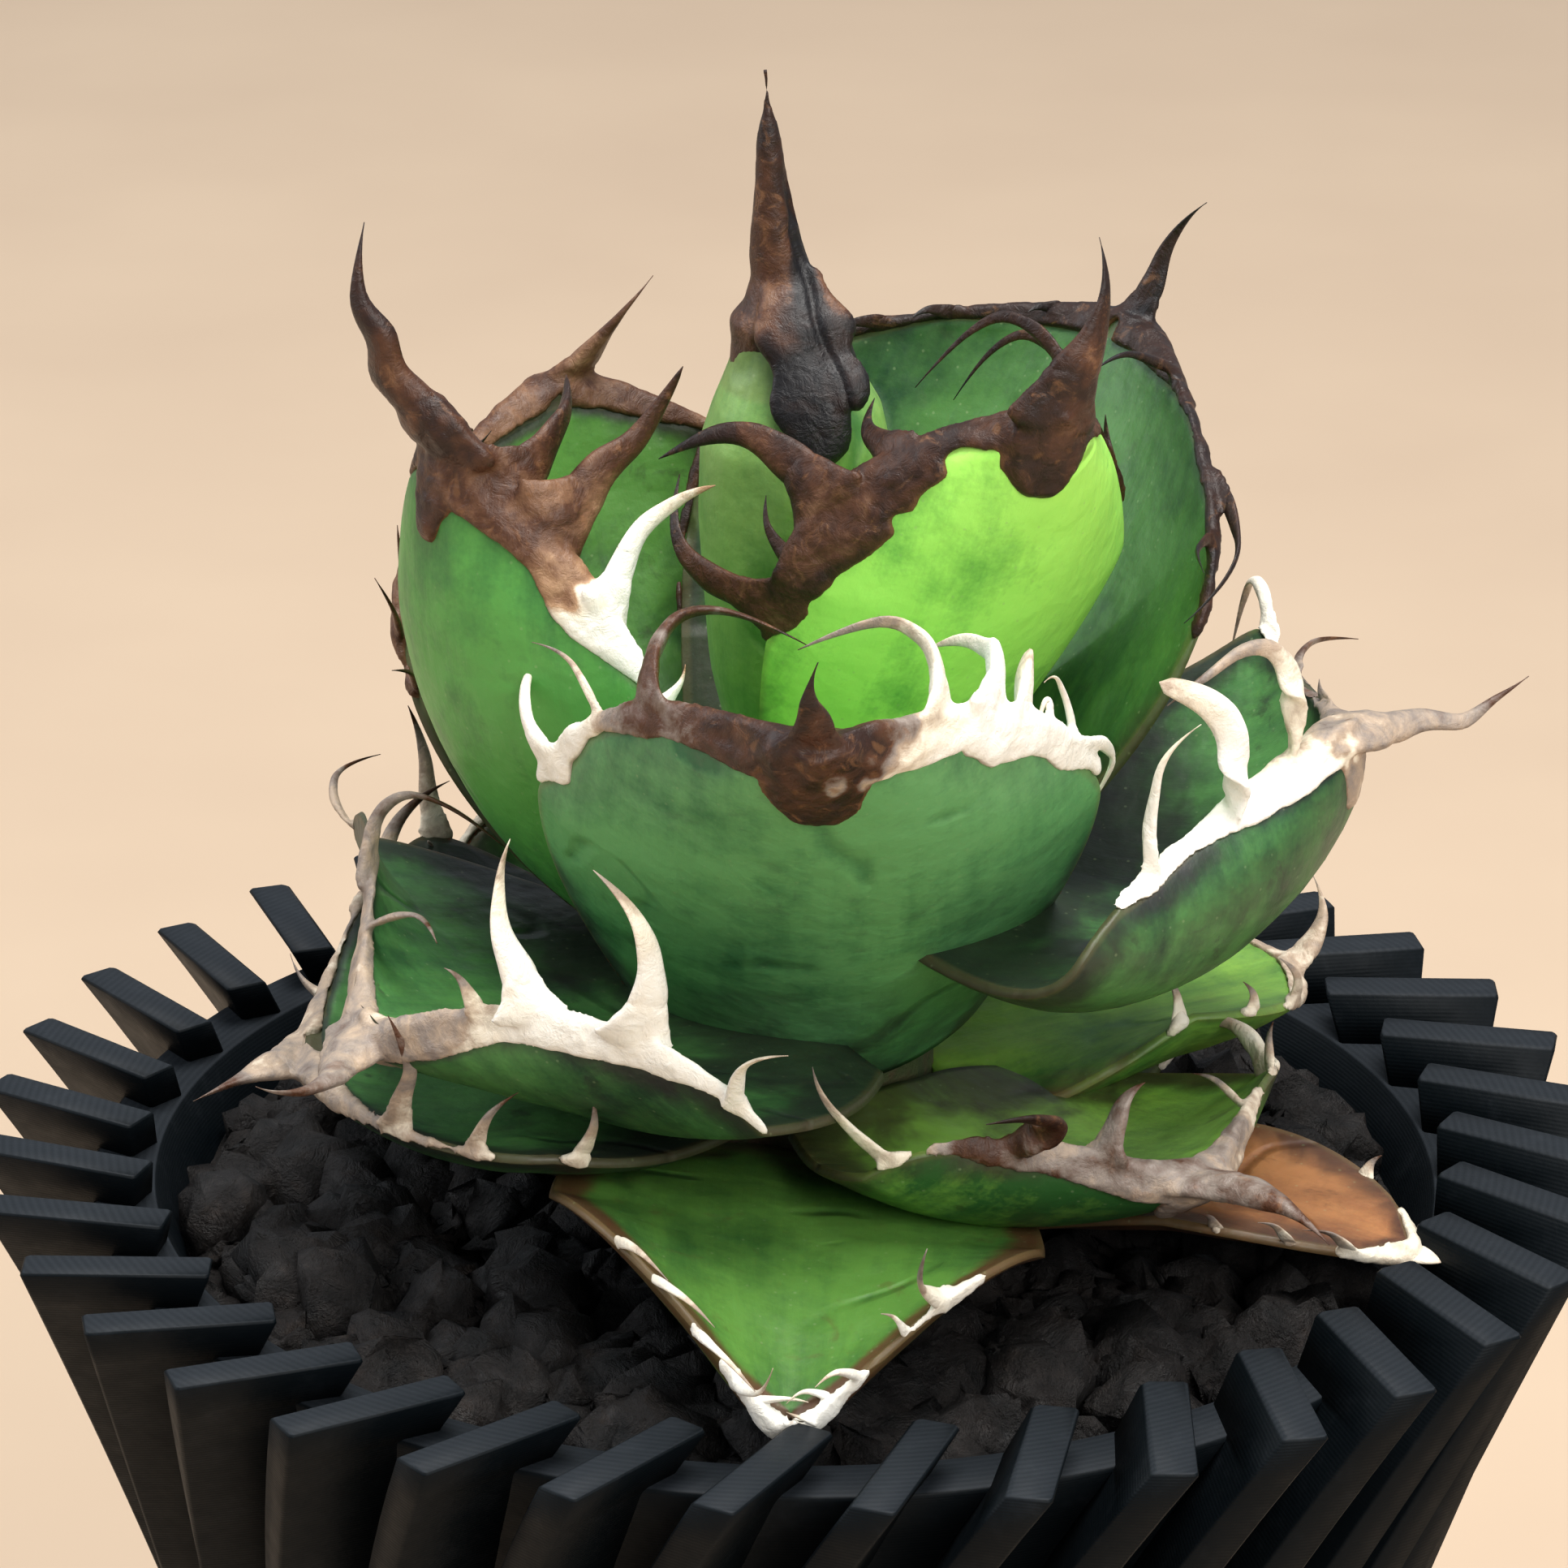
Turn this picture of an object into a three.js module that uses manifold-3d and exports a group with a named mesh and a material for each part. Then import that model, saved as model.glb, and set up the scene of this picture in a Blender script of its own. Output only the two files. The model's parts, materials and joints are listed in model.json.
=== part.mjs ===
// A potted agave titanota: a compact rosette of thick, cupped leaves with horny toothed margins and long
// terminal spines, on a short stem in black gravel, in a flared pot with swirled upright fins.
//
// Millimetres, +Z up. The origin is the centre of the pot's foot, on the surface that it stands on. The
// rosette has a frame of its own, on the plane of the pot's rim. Angles are in degrees, anticlockwise from
// +X as seen from above.
import * as THREE from "three";
import { mergeVertices } from "three/addons/utils/BufferGeometryUtils.js";
import Module from "manifold-3d";

const wasm = await Module();
wasm.setup();

// Pot: fins stand round a plain cup, lean off the radial line and twist as they go down.
const POT_HEIGHT = 90;
const RIM_RADIUS = 56;
const FLARE_RADIUS = 21;
const FLARE_LENGTH = 76;
const FIN_COUNT = 36;
const FIN_THICKNESS = 3.1;
const FIN_SWIRL = 25;
const FIN_TWIST_PER_MM = 0.5;
const FIRST_FIN = 5;
const FIN_INNER_RADIUS = 45.8;
const CUP_DROP = 3.2;
const CUP_INSET = 6.2;
const CUP_WALL = 4.4;
const FLOOR_THICKNESS = 4;
const DRAIN_RADIUS = 5;
const POT_LEVELS = [0, 32, 61, POT_HEIGHT - CUP_DROP];

// Gravel
const GRAVEL_DEPTH = 6.5;
const STONE_COUNT = 48;
const STONE_SIZE = [2.0, 3.3];

// Rosette
const ROSETTE_OFFSET = 1;
const CLEARANCE = 0.32;
const KEEP_OFF = 0.75;
const EDGE_THICKNESS = 1.1;
const WIDEST = 0.56;
const ROOT_SHARE = 0.62;
const TIP_SHARE = 0.1;
const CAP_LENGTH = 0.08;
const CAP_TURN = 0.03;
const BLADE_TIP = 0.08;
const LOW_STATIONS = [0, 0.2, 0.4, 0.56, 0.73];
const BAND_GAP = 0.4;
const BAND_PROUD = 0.15;
const LONG_TOOTH = 8;
const TOOTH_THICKNESS = 1.3;
const ROOT_SUNK = 0.6;
const BAND = { start: 0.38, wide: 1.5, widest: 2.4 };

// az: where the leaf points. root: distance from the axis and height over the rim. rise: slope of the
// midrib at root and tip, and how it passes between them. half: half-width, measured round the curve.
// cup: half-angle of the section at root, widest place and tip. cap: where on the midrib the horn takes over.
// A spine is [half-width, length, lean, rise, bend of the lean, bend of the rise]. Teeth on either margin are
// [place, half-width, length, lean to the tip, rise inward, bend of the lean, bend of the rise], or a count.
// Where two leaves would cross, the one that comes first in the list keeps its shape.
const LEAVES = [
  {
    id: "04", az: 271, root: [8, 6.3], rise: [46, 49, 0.8], length: 51, half: 21, cup: [51, 52, 76],
    thick: 4.8, roll: 1, yaw: -5, cap: 0.93, spine: [3.0, 8.5, -5, 5, 5, 5],
    left: [[0.63, 1.2, 14.5, -5, -5, -20, 80], [0.76, 0.6, 8.5, -5, 10, -5, -20],
      [0.84, 1.5, 19, 10, 15, 10, 110]],
    right: [[0.91, 1.5, 17, 10, 10, 5, 110], [0.85, 1.3, 14, -10, 5, -65, 40], [0.79, 1.0, 5, 0, 25, 0, 0],
      [0.69, 0.8, 15.5, -35, -15, -90, 20]],
  },
  {
    id: "01", az: 314, root: [6, 23.2], rise: [51, 73, 0.7], length: 38, half: 15, cup: [55, 49, 89],
    thick: 4.4, roll: -14, yaw: -3, cap: 0.94, spine: [3.2, 12, 20, 5, -10, 15],
    left: [[0.82, 1.6, 9, -20, 20, 10, 15], [0.68, 2.3, 15.5, 30, 20, -65, -40],
      [0.57, 0.8, 6, 10, 30, 5, 5], [0.48, 1.6, 14.5, -20, 0, 40, 45]],
    right: [[0.97, 0.9, 20, 40, 5, -110, 25], [0.95, 0.8, 18, 35, 5, -105, 15], [0.7, 0.8, 5, 20, 20, 30, 0]],
  },
  {
    id: "02", az: 207, root: [5.3, 11.9], rise: [12, 103, 0.8], length: 53, half: 17, cup: [50, 61, 64],
    thick: 4.6, roll: 7, yaw: 4, cap: 0.94, spine: [4.0, 16.5, -17, -52, 0, 40],
    left: 3,
    right: [[0.94, 1.8, 10, 45, 30, 10, 10], [0.89, 2.0, 14.5, 35, 30, 15, -15],
      [0.77, 1.5, 12, 65, 30, -30, -15], [0.62, 0.8, 4, 20, 20, 20, 0]],
  },
  {
    id: "03", az: 41.5, root: [5.3, 17.3], rise: [42, 66, 0.8], length: 42.5, half: 26.5, cup: [48, 52, 54],
    thick: 4.4, roll: 6, yaw: -5, cap: 0.95, spine: [2.2, 11, -5, 5, -20, 5],
    left: [[0.94, 0.6, 10, 10, 30, -25, 0], [0.81, 0.8, 15.5, -20, -40, -35, 45],
      [0.71, 0.6, 9, -10, 10, -5, -10]],
    right: [[0.97, 0.7, 3, -10, 25, -10, 0], [0.9, 0.7, 4.5, -10, 25, -10, 0],
      [0.84, 0.7, 6, -5, 25, -35, 5]],
  },
  {
    id: "05", az: 126, root: [6.7, 11], rise: [16, 86, 0.9], length: 45.5, half: 22, cup: [47, 55, 47],
    thick: 4.6, roll: -6, yaw: -5, cap: 0.95, spine: [2.4, 10.5, -35, 25, -5, -10],
    left: 4,
    right: [[0.86, 0.8, 4, 10, 20, 20, 0], [0.74, 0.6, 6, 15, 15, 30, 0], [0.64, 0.6, 9.5, 10, 15, 10, -5],
      [0.53, 0.6, 8, 5, 15, 0, -5]],
  },
  {
    id: "06", az: 342, root: [9.6, 18.3], rise: [-14, 108, 1.6], length: 40, half: 26.5, cup: [42, 49, 58],
    thick: 4.8, roll: 10, yaw: -18, cap: 0.95, spine: [2.4, 14.5, 105, -35, -15, -5],
    left: [[0.8, 0.7, 11.5, 70, 20, 25, -15], [0.91, 1.4, 12.5, 105, -5, -65, 5],
      [0.97, 1.2, 21, 110, 5, -120, -30]],
    right: [[0.65, 0.8, 16.5, 20, -5, -130, -15], [0.79, 0.8, 10, -5, -35, 0, -45],
      [0.92, 0.8, 4, 5, -20, 0, 0]],
  },
  {
    id: "07", az: 220.5, root: [7, 6.8], rise: [6, 26, 1], length: 32.5, half: 26, cup: [35, 31, 91],
    thick: 4.6, roll: -4, yaw: -12, cap: 0.96, spine: [2.4, 12.5, 55, -25, -30, 15],
    left: [[0.88, 1.0, 18.5, 20, 0, -125, 25], [0.6, 0.6, 11, 15, -20, -75, 25],
      [0.93, 0.8, 9.5, 0, 50, 0, 40]],
    right: [[0.91, 0.8, 4.5, 40, 25, 15, -5], [0.86, 1.9, 12, 45, 35, -15, 0],
      [0.76, 1.9, 13.5, 10, 15, 45, 25], [0.6, 0.9, 9, 50, 30, -50, -25]],
  },
  {
    id: "08", az: 80.5, root: [6, 7.7], rise: [5, 75, 1], length: 41, half: 22.5, cup: [42, 49, 60],
    thick: 4.8, roll: 0, yaw: 0, cap: 0.94, spine: [2.6, 13, 0, -15, 5, 15], left: 2, right: 2,
  },
  {
    id: "09", az: 313.5, root: [8.7, 1], rise: [-10, 40, 1.1], length: 31, half: 20, cup: [33, 37, 72],
    thick: 4.4, roll: -6, yaw: -2, cap: 0.95, spine: [2.4, 11, 5, -25, 10, -20],
    left: [[0.64, 0.8, 9, -15, 5, 5, 5], [0.82, 1.6, 14, 95, 25, -85, -75], [0.93, 1.6, 6, 30, 35, 20, 10]],
    right: [[0.62, 1.0, 11, -35, 20, -70, -10], [0.76, 0.7, 4, 0, 30, 20, 0], [0.89, 0.6, 5, -35, 35, -5, 0]],
  },
  {
    id: "10", az: 197.5, root: [7.9, 4.8], rise: [-11, 24, 1], length: 29, half: 24, cup: [33, 43, 37],
    thick: 4.2, roll: -7, yaw: -9, cap: 0.95, spine: [2.4, 9, 40, -10, -5, -10], left: 2, right: 3,
  },
  {
    id: "11", az: 21, root: [8.4, -0.4], rise: [9, 12, 1], length: 29, half: 15, cup: [28, 66, 37],
    thick: 4.2, roll: 3, yaw: 3, cap: 0.95, spine: [1.6, 8, 0, 20, 60, 30], left: 3, right: 2,
  },
  {
    id: "12", az: 267, root: [5.5, -4.7], rise: [27, -23, 1.2], length: 40, half: 17, cup: [14, 25, 93],
    thick: 3.8, roll: -6, yaw: 4, cap: 0.97, spine: [1.1, 3, 0, -5, 0, 0],
    left: [[0.75, 0.6, 7, 60, 30, 60, 0], [0.81, 0.6, 7, 70, 35, 60, 0], [0.88, 0.6, 8, 70, 25, 30, 10],
      [0.94, 0.6, 8, 70, 20, -45, 0]],
    right: [[0.8, 1.0, 9, 80, 45, -55, -10], [0.87, 0.6, 3.5, 15, 40, 10, 10], [0.93, 0.6, 6, 35, 35, 25, 5]],
  },
  {
    id: "13", az: 107.5, root: [7.8, -0.7], rise: [15, 42, 1], length: 31.5, half: 21, cup: [22, 28, 45],
    thick: 4.2, roll: 1, yaw: -1, cap: 0.95, spine: [2.2, 9, 0, -10, 10, 10], left: 2, right: 2,
  },
  {
    id: "14", az: 338, root: [10, -5.5], rise: [19, -7, 1], length: 34.5, half: 9.5, cup: [10, 37, 27],
    thick: 2.6, roll: -1, yaw: -4, cap: 0.97, spine: [1.3, 3, 0, 0, 0, 0],
    left: [[0.67, 0.6, 3, -5, 20, -5, -5], [0.8, 0.6, 5, -5, 15, -5, -5], [0.9, 0.7, 6, 0, 20, -30, -20]],
    right: 2,
  },
  {
    id: "15", az: 61.5, root: [7.6, -5.3], rise: [6, 17, 1], length: 28.5, half: 17, cup: [24, 31, 40],
    thick: 3.8, roll: 9, yaw: 0, cap: 0.96, spine: [1.8, 7, 0, -5, 10, 10], left: 2, right: 1,
  },
  {
    id: "16", az: 148.5, root: [8, -6.1], rise: [-2, 16, 1], length: 31, half: 16.5, cup: [26, 36, 40],
    thick: 3.8, roll: 1, yaw: 0, cap: 0.96, spine: [1.8, 8, 0, -5, -10, 10], left: 1, right: 2,
  },
];
const DEAD_LEAF = "14";

const rad = THREE.MathUtils.degToRad;
const { lerp, clamp } = THREE.MathUtils;
const vec = (x, y, z) => new THREE.Vector3(x, y, z);

// Solids

function solidFromGeometry(geometry) {
  const bare = geometry.clone();
  for (const name of Object.keys(bare.attributes)) {
    if (name !== "position") bare.deleteAttribute(name);
  }
  const merged = mergeVertices(bare, 1e-4);
  const triVerts = new Uint32Array(merged.index.array);
  const mesh = { numProp: 3, vertProperties: new Float32Array(merged.attributes.position.array), triVerts };
  const solid = new wasm.Manifold(new wasm.Mesh(mesh));
  if (solid.volume() >= 0) return solid;
  for (let i = 0; i < triVerts.length; i += 3) {
    [triVerts[i + 1], triVerts[i + 2]] = [triVerts[i + 2], triVerts[i + 1]];
  }
  return new wasm.Manifold(new wasm.Mesh(mesh));
}

function solidFromTriangles(points, triangles) {
  const geometry = new THREE.BufferGeometry().setFromPoints(points);
  geometry.setIndex(triangles);
  return solidFromGeometry(geometry);
}

function geometryOfSolid(solid) {
  const mesh = solid.getMesh();
  const positions = new Float32Array(mesh.numVert * 3);
  for (let i = 0; i < mesh.numVert; i++) {
    const start = i * mesh.numProp;
    positions.set(mesh.vertProperties.subarray(start, start + 3), i * 3);
  }
  const geometry = new THREE.BufferGeometry();
  geometry.setAttribute("position", new THREE.BufferAttribute(positions, 3));
  geometry.setIndex(new THREE.BufferAttribute(mesh.triVerts, 1));
  geometry.computeVertexNormals();
  return geometry;
}

function turned(profile, sides) {
  return solidFromGeometry(new THREE.LatheGeometry(profile, sides)).rotate([90, 0, 0]);
}

function largestPiece(solid) {
  return solid.decompose().reduce((a, b) => (b.volume() > a.volume() ? b : a));
}

function boxesMeet(a, b) {
  const p = a.boundingBox();
  const q = b.boundingBox();
  return [0, 1, 2].every((k) => p.min[k] < q.max[k] && q.min[k] < p.max[k]);
}

function trimmedBy(solid, cutters) {
  let left = solid;
  for (const cutter of cutters) {
    if (boxesMeet(left, cutter)) left = left.subtract(cutter);
  }
  return largestPiece(left);
}

const fan = (ring) => ring.slice(2).map((_, k) => [0, k + 1, k + 2]);
const earsOf = (ring) => THREE.ShapeUtils.triangulateShape(ring.map((p) => new THREE.Vector2(p.x, p.y)), []);

// A closed body through rings of equal length, with flat ends. A level ring that isn't convex needs earsOf.
function loft(rings, facesOf = fan) {
  const side = rings[0].length;
  const triangles = [];
  for (let i = 0; i + 1 < rings.length; i++) {
    for (let k = 0; k < side; k++) {
      const a = i * side + k;
      const b = i * side + ((k + 1) % side);
      triangles.push(a, b, b + side, a, b + side, a + side);
    }
  }
  const last = (rings.length - 1) * side;
  for (const [a, b, c] of facesOf(rings[0])) triangles.push(a, c, b);
  for (const [a, b, c] of facesOf(rings.at(-1))) triangles.push(last + a, last + b, last + c);
  return solidFromTriangles(rings.flat(), triangles);
}

// A flattened horn along a curve, which shrinks to a blunt point.
function hornAlong(curve, across, { wide, thick, sides, steps, fullness }) {
  const rings = [];
  for (let i = 0; i <= steps; i++) {
    const q = i / steps;
    const size = Math.max(0.07, 1 - Math.pow(q, fullness));
    const centre = curve.getPoint(q);
    const along = curve.getTangent(q).normalize();
    const flat = across.clone().addScaledVector(along, -across.dot(along)).normalize();
    const up = along.clone().cross(flat);
    const ring = Array.from({ length: sides }, (_, k) => {
      const turn = (2 * Math.PI * k) / sides;
      return centre
        .clone()
        .addScaledVector(flat, Math.cos(turn) * wide * size)
        .addScaledVector(up, Math.sin(turn) * thick * size);
    });
    rings.push(ring);
  }
  return loft(rings);
}

function seededRandom(seed) {
  let state = seed;
  return () => {
    state = (state * 16807) % 2147483647;
    return state / 2147483647;
  };
}

// Leaf surface

const MIDRIB_STEPS = 24;

function headingOf(leaf, t) {
  const az = rad(leaf.az + leaf.yaw * t * t);
  const [low, high, bow] = leaf.rise;
  const slope = rad(lerp(low, high, Math.pow(t, bow)));
  return { out: vec(Math.cos(az), Math.sin(az), 0), side: vec(-Math.sin(az), Math.cos(az), 0), slope };
}

function midribOf(leaf) {
  const az = rad(leaf.az);
  const [reach, height] = leaf.root;
  const points = [vec(Math.cos(az) * reach, Math.sin(az) * reach, height)];
  const step = leaf.length / MIDRIB_STEPS;
  for (let i = 0; i < MIDRIB_STEPS; i++) {
    const { out, slope } = headingOf(leaf, (i + 0.5) / MIDRIB_STEPS);
    const next = points[i].clone().addScaledVector(out, Math.cos(slope) * step);
    next.z += Math.sin(slope) * step;
    points.push(next);
  }
  return points;
}

function widthShare(t) {
  if (t < WIDEST) return lerp(ROOT_SHARE, 1, Math.sin((Math.PI / 2) * (t / WIDEST)));
  const q = (t - WIDEST) / (1 - WIDEST);
  return lerp(TIP_SHARE, 1, Math.pow(Math.max(0, 1 - q * q), 0.85));
}

// The section of a leaf at a place t along its midrib. Past either end the section moves on unchanged.
function sectionAt(leaf, t) {
  const near = clamp(t, 0, 1);
  const place = near * MIDRIB_STEPS;
  const i = Math.min(MIDRIB_STEPS - 1, Math.floor(place));
  const point = leaf.midrib[i].clone().lerp(leaf.midrib[i + 1], place - i);
  const { out, side, slope } = headingOf(leaf, near);
  const along = out.clone().multiplyScalar(Math.cos(slope)).setZ(Math.sin(slope));
  const inward = out.clone().multiplyScalar(-Math.sin(slope)).setZ(Math.cos(slope));
  point.addScaledVector(along, (t - near) * leaf.length);
  const roll = rad(leaf.roll);
  const across = side.clone().multiplyScalar(Math.cos(roll)).addScaledVector(inward, Math.sin(roll));
  const up = inward.clone().multiplyScalar(Math.cos(roll)).addScaledVector(side, -Math.sin(roll));
  const [atRoot, atWidest, atTip] = leaf.cup;
  const lowCup = lerp(atRoot, atWidest, Math.min(1, near / WIDEST));
  const cup = near < WIDEST ? lowCup : lerp(atWidest, atTip, (near - WIDEST) / (1 - WIDEST));
  const half = leaf.half * widthShare(near);
  return { point, along, across, up, angle: rad(cup), half, thick: leaf.thick * lerp(1.25, 0.55, near) };
}

// A place on the section, s from -1 to 1 round its curve, at a depth from the outer face, with its own frame.
function surfaceAt(section, s, depth) {
  const turn = s * section.angle;
  const radius = section.half / section.angle;
  const { across, up } = section;
  const normal = across.clone().multiplyScalar(-Math.sin(turn)).addScaledVector(up, Math.cos(turn));
  const outward = across.clone().multiplyScalar(Math.cos(turn)).addScaledVector(up, Math.sin(turn));
  const point = section.point
    .clone()
    .addScaledVector(across, radius * Math.sin(turn))
    .addScaledVector(up, radius * (1 - Math.cos(turn)))
    .addScaledVector(normal, depth);
  return { point, normal, outward };
}

function depthAt(section, s) {
  const body = 1 - Math.pow(Math.abs(s), 2.4);
  return lerp(EDGE_THICKNESS, Math.max(EDGE_THICKNESS, section.thick), body);
}

// How far from the midrib the horn starts, as a share of the half-width: 1 is the bare margin, 0 the midrib.
function hornStart(leaf, t) {
  const { start, wide, widest } = BAND;
  if (t < start) return 1;
  const band = lerp(wide, widest, Math.pow((t - start) / (1 - start), 2));
  const share = 1 - band / (leaf.half * widthShare(Math.min(t, 1)));
  const q = clamp((t - leaf.cap + CAP_LENGTH) / CAP_LENGTH, 0, 1);
  return share * Math.sqrt(1 - q * q);
}

// Leaf solids

// A slab between the outer and inner faces. reachAt gives its half-width at each station as a share of the
// leaf's, and grow widens it on every side, to make the clearance that its neighbours keep.
function slabOf(leaf, stations, columns, reachAt, grow) {
  const outer = [];
  const inner = [];
  stations.forEach((t, i) => {
    const end = i === 0 ? -grow : i === stations.length - 1 ? grow : 0;
    const section = sectionAt(leaf, t + end / leaf.length);
    for (const column of columns) {
      const s = column * reachAt(t);
      const wider = s + (column * grow) / section.half;
      outer.push(surfaceAt(section, wider, -grow).point);
      inner.push(surfaceAt(section, wider, depthAt(section, s) + grow).point);
    }
  });
  const across = columns.length;
  const count = outer.length;
  const triangles = [];
  const quad = (a, b, c, d) => triangles.push(a, b, c, a, c, d);
  for (let i = 0; i + 1 < stations.length; i++) {
    for (let k = 0; k + 1 < across; k++) {
      const a = i * across + k;
      const b = a + count;
      triangles.push(a, a + 1, a + across + 1, a, a + across + 1, a + across);
      triangles.push(b, b + across + 1, b + 1, b, b + across, b + across + 1);
    }
    const left = i * across;
    const right = left + across - 1;
    quad(left, left + across, left + across + count, left + count);
    quad(right, right + count, right + across + count, right + across);
  }
  for (let k = 0; k + 1 < across; k++) {
    const end = (stations.length - 1) * across + k;
    quad(k, k + count, k + 1 + count, k + 1);
    quad(end, end + 1, end + 1 + count, end + count);
  }
  return solidFromTriangles([...outer, ...inner], triangles);
}

function bladeOf(leaf) {
  const { cap } = leaf;
  const stations = [...LOW_STATIONS, cap - CAP_LENGTH, cap - CAP_TURN, cap];
  return slabOf(leaf, stations, [-1, -0.6, 0, 0.6, 1], (t) => Math.max(BLADE_TIP, hornStart(leaf, t)), 0);
}

// The room that a whole leaf takes, blade and bands together.
function envelopeOf(leaf) {
  return slabOf(leaf, [...LOW_STATIONS, 0.87, 0.95, 1], [-1, -0.55, 0, 0.55, 1], () => 1, KEEP_OFF);
}

// The horny band: a strip that runs up one margin, round the tip past the end of the blade, and down again.
function bandOf(leaf, grow) {
  const { cap, length } = leaf;
  const gap = BAND_GAP - grow;
  const crossRing = ([t, start, far], sign) => {
    const past = t > cap - CAP_LENGTH;
    const from = sectionAt(leaf, past ? t + gap / length : t);
    const to = sectionAt(leaf, past ? far + grow / length : far);
    const inner = start + gap / from.half;
    const outer = 1 + grow / to.half;
    const places = [[from, inner], [sectionAt(leaf, (t + far) / 2), (inner + outer) / 2], [to, outer]];
    const proud = BAND_PROUD + grow;
    const lower = places.map(([section, s]) => surfaceAt(section, s * sign, -proud).point);
    const upper = places.map(([section, s]) => {
      return surfaceAt(section, s * sign, depthAt(section, Math.min(1, s)) + proud).point;
    });
    return [...lower, ...upper.reverse()];
  };
  const onMargin = LOW_STATIONS.filter((t) => t > BAND.start).map((t) => [t, hornStart(leaf, t), t]);
  const corner = cap - CAP_LENGTH;
  const turn = cap - CAP_TURN;
  const strip = [
    ...onMargin,
    [corner, hornStart(leaf, corner), corner],
    [turn, hornStart(leaf, turn), (cap + 1) / 2],
    [cap, BLADE_TIP, 1],
  ];
  const left = strip.map((place) => crossRing(place, -1));
  const right = strip.map((place) => crossRing(place, 1));
  return loft([...left, crossRing([cap, 0, 1], 0), ...right.reverse()]);
}

// A direction that starts along u, leans towards m and rises towards n.
function direction(u, m, n, lean, rise) {
  const flat = u.clone().multiplyScalar(Math.cos(rad(lean))).addScaledVector(m, Math.sin(rad(lean)));
  return flat.multiplyScalar(Math.cos(rad(rise))).addScaledVector(n, Math.sin(rad(rise)));
}

function bentCurve(start, [u, m, n], [length, lean, rise, bendLean, bendRise]) {
  const middle = start.clone().addScaledVector(direction(u, m, n, lean, rise), length / 2);
  const final = direction(u, m, n, lean + bendLean, rise + bendRise);
  return new THREE.QuadraticBezierCurve3(start, middle, middle.clone().addScaledVector(final, length / 2));
}

function toothOf(leaf, sign, [t, wide, ...bend], grow) {
  const section = sectionAt(leaf, t);
  const edge = surfaceAt(section, sign, EDGE_THICKNESS / 2);
  const outward = edge.outward.multiplyScalar(sign);
  const root = edge.point.addScaledVector(outward, -ROOT_SUNK);
  const curve = bentCurve(root, [outward, section.along, edge.normal], bend);
  const steps = bend[0] > LONG_TOOTH ? 3 : 2;
  const shape = { wide: wide + grow, thick: TOOTH_THICKNESS / 2 + grow, sides: 3, steps, fullness: 1.4 };
  return hornAlong(curve, section.along, shape);
}

function spineOf(leaf, grow) {
  const [wide, ...bend] = leaf.spine;
  const section = sectionAt(leaf, 0.975);
  const start = section.point.clone().addScaledVector(section.up, section.thick * 0.4);
  const curve = bentCurve(start, [section.along, section.across, section.up], bend);
  const shape = { wide: wide + grow, thick: wide * 0.66 + grow, sides: 5, steps: 4, fullness: 0.9 };
  return hornAlong(curve, section.across, shape);
}

// Teeth by rule, for a margin that has only a count.
function ruledTeeth(leaf, sign, count) {
  const random = seededRandom(Number(leaf.id) * 977 + sign);
  const size = leaf.half / 21;
  return Array.from({ length: count }, (_, i) => {
    const t = lerp(0.46, 0.93, (i + 0.3 + 0.5 * random()) / count);
    const length = size * (4 + 7 * random() * Math.sin(Math.PI * lerp(0.25, 0.8, i / count)));
    const bend = [-10 + 50 * random(), 10 + 25 * random(), 90 * (random() - 0.6), 30 * random()];
    return [t, 0.7 + 0.08 * length, length, ...bend];
  });
}

function hornOf(leaf, grow) {
  const pieces = [spineOf(leaf, grow), bandOf(leaf, grow)];
  for (const tooth of leaf.left) pieces.push(toothOf(leaf, -1, tooth, grow));
  for (const tooth of leaf.right) pieces.push(toothOf(leaf, 1, tooth, grow));
  return largestPiece(wasm.Manifold.union(pieces));
}

function prepare(leaf) {
  leaf.midrib = midribOf(leaf);
  if (!Array.isArray(leaf.left)) leaf.left = ruledTeeth(leaf, -1, leaf.left);
  if (!Array.isArray(leaf.right)) leaf.right = ruledTeeth(leaf, 1, leaf.right);
}

// Stem and bud

const STEM_PROFILE = [[0, -26], [4, -26], [8.6, -12], [8.4, 8], [5.5, 17], [3.6, 24.5], [0, 24.5]];

function stemOf(grow) {
  const last = STEM_PROFILE.length - 1;
  const points = STEM_PROFILE.map(([r, z], i) => {
    const end = i < 2 ? -grow : i >= last - 1 ? grow : 0;
    return new THREE.Vector2(r > 0 ? r + grow : 0, z + end);
  });
  return turned(points, 12);
}

// The youngest leaves, still rolled round the growing point, and the horn on top: [sideways, height, radius].
const BUD_RINGS = [
  [0, 25.5, 5], [-0.8, 34, 6.5], [-1.5, 44, 6.6], [-1.5, 51.5, 6.1], [-1.9, 55.3, 4.3], [-2.2, 57.2, 3.6],
];
const BUD_HORN_RINGS = [
  [-2.4, 57.7, 3.7], [-2.4, 59.2, 2.8], [-2.7, 61.5, 2.0], [-3.2, 65, 1.5], [-3.5, 69.5, 0.8],
  [-3.8, 75, 0.12],
];
const BUD_TONGUE = [vec(-1.7, -2.4, 59), vec(-0.6, -5.6, 55.5), vec(0.8, -7.1, 50.5)];

function coneOf(table, sides, grow) {
  const last = table.length - 1;
  const rings = table.map(([x, z, radius], i) => {
    const end = i === 0 ? -grow : i === last ? grow : 0;
    return Array.from({ length: sides }, (_, k) => {
      const turn = (2 * Math.PI * k) / sides;
      return vec(x + Math.cos(turn) * (radius + grow), Math.sin(turn) * (radius + grow), z + end);
    });
  });
  return loft(rings);
}

function budOf(grow) {
  return coneOf(BUD_RINGS, 12, grow);
}

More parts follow.
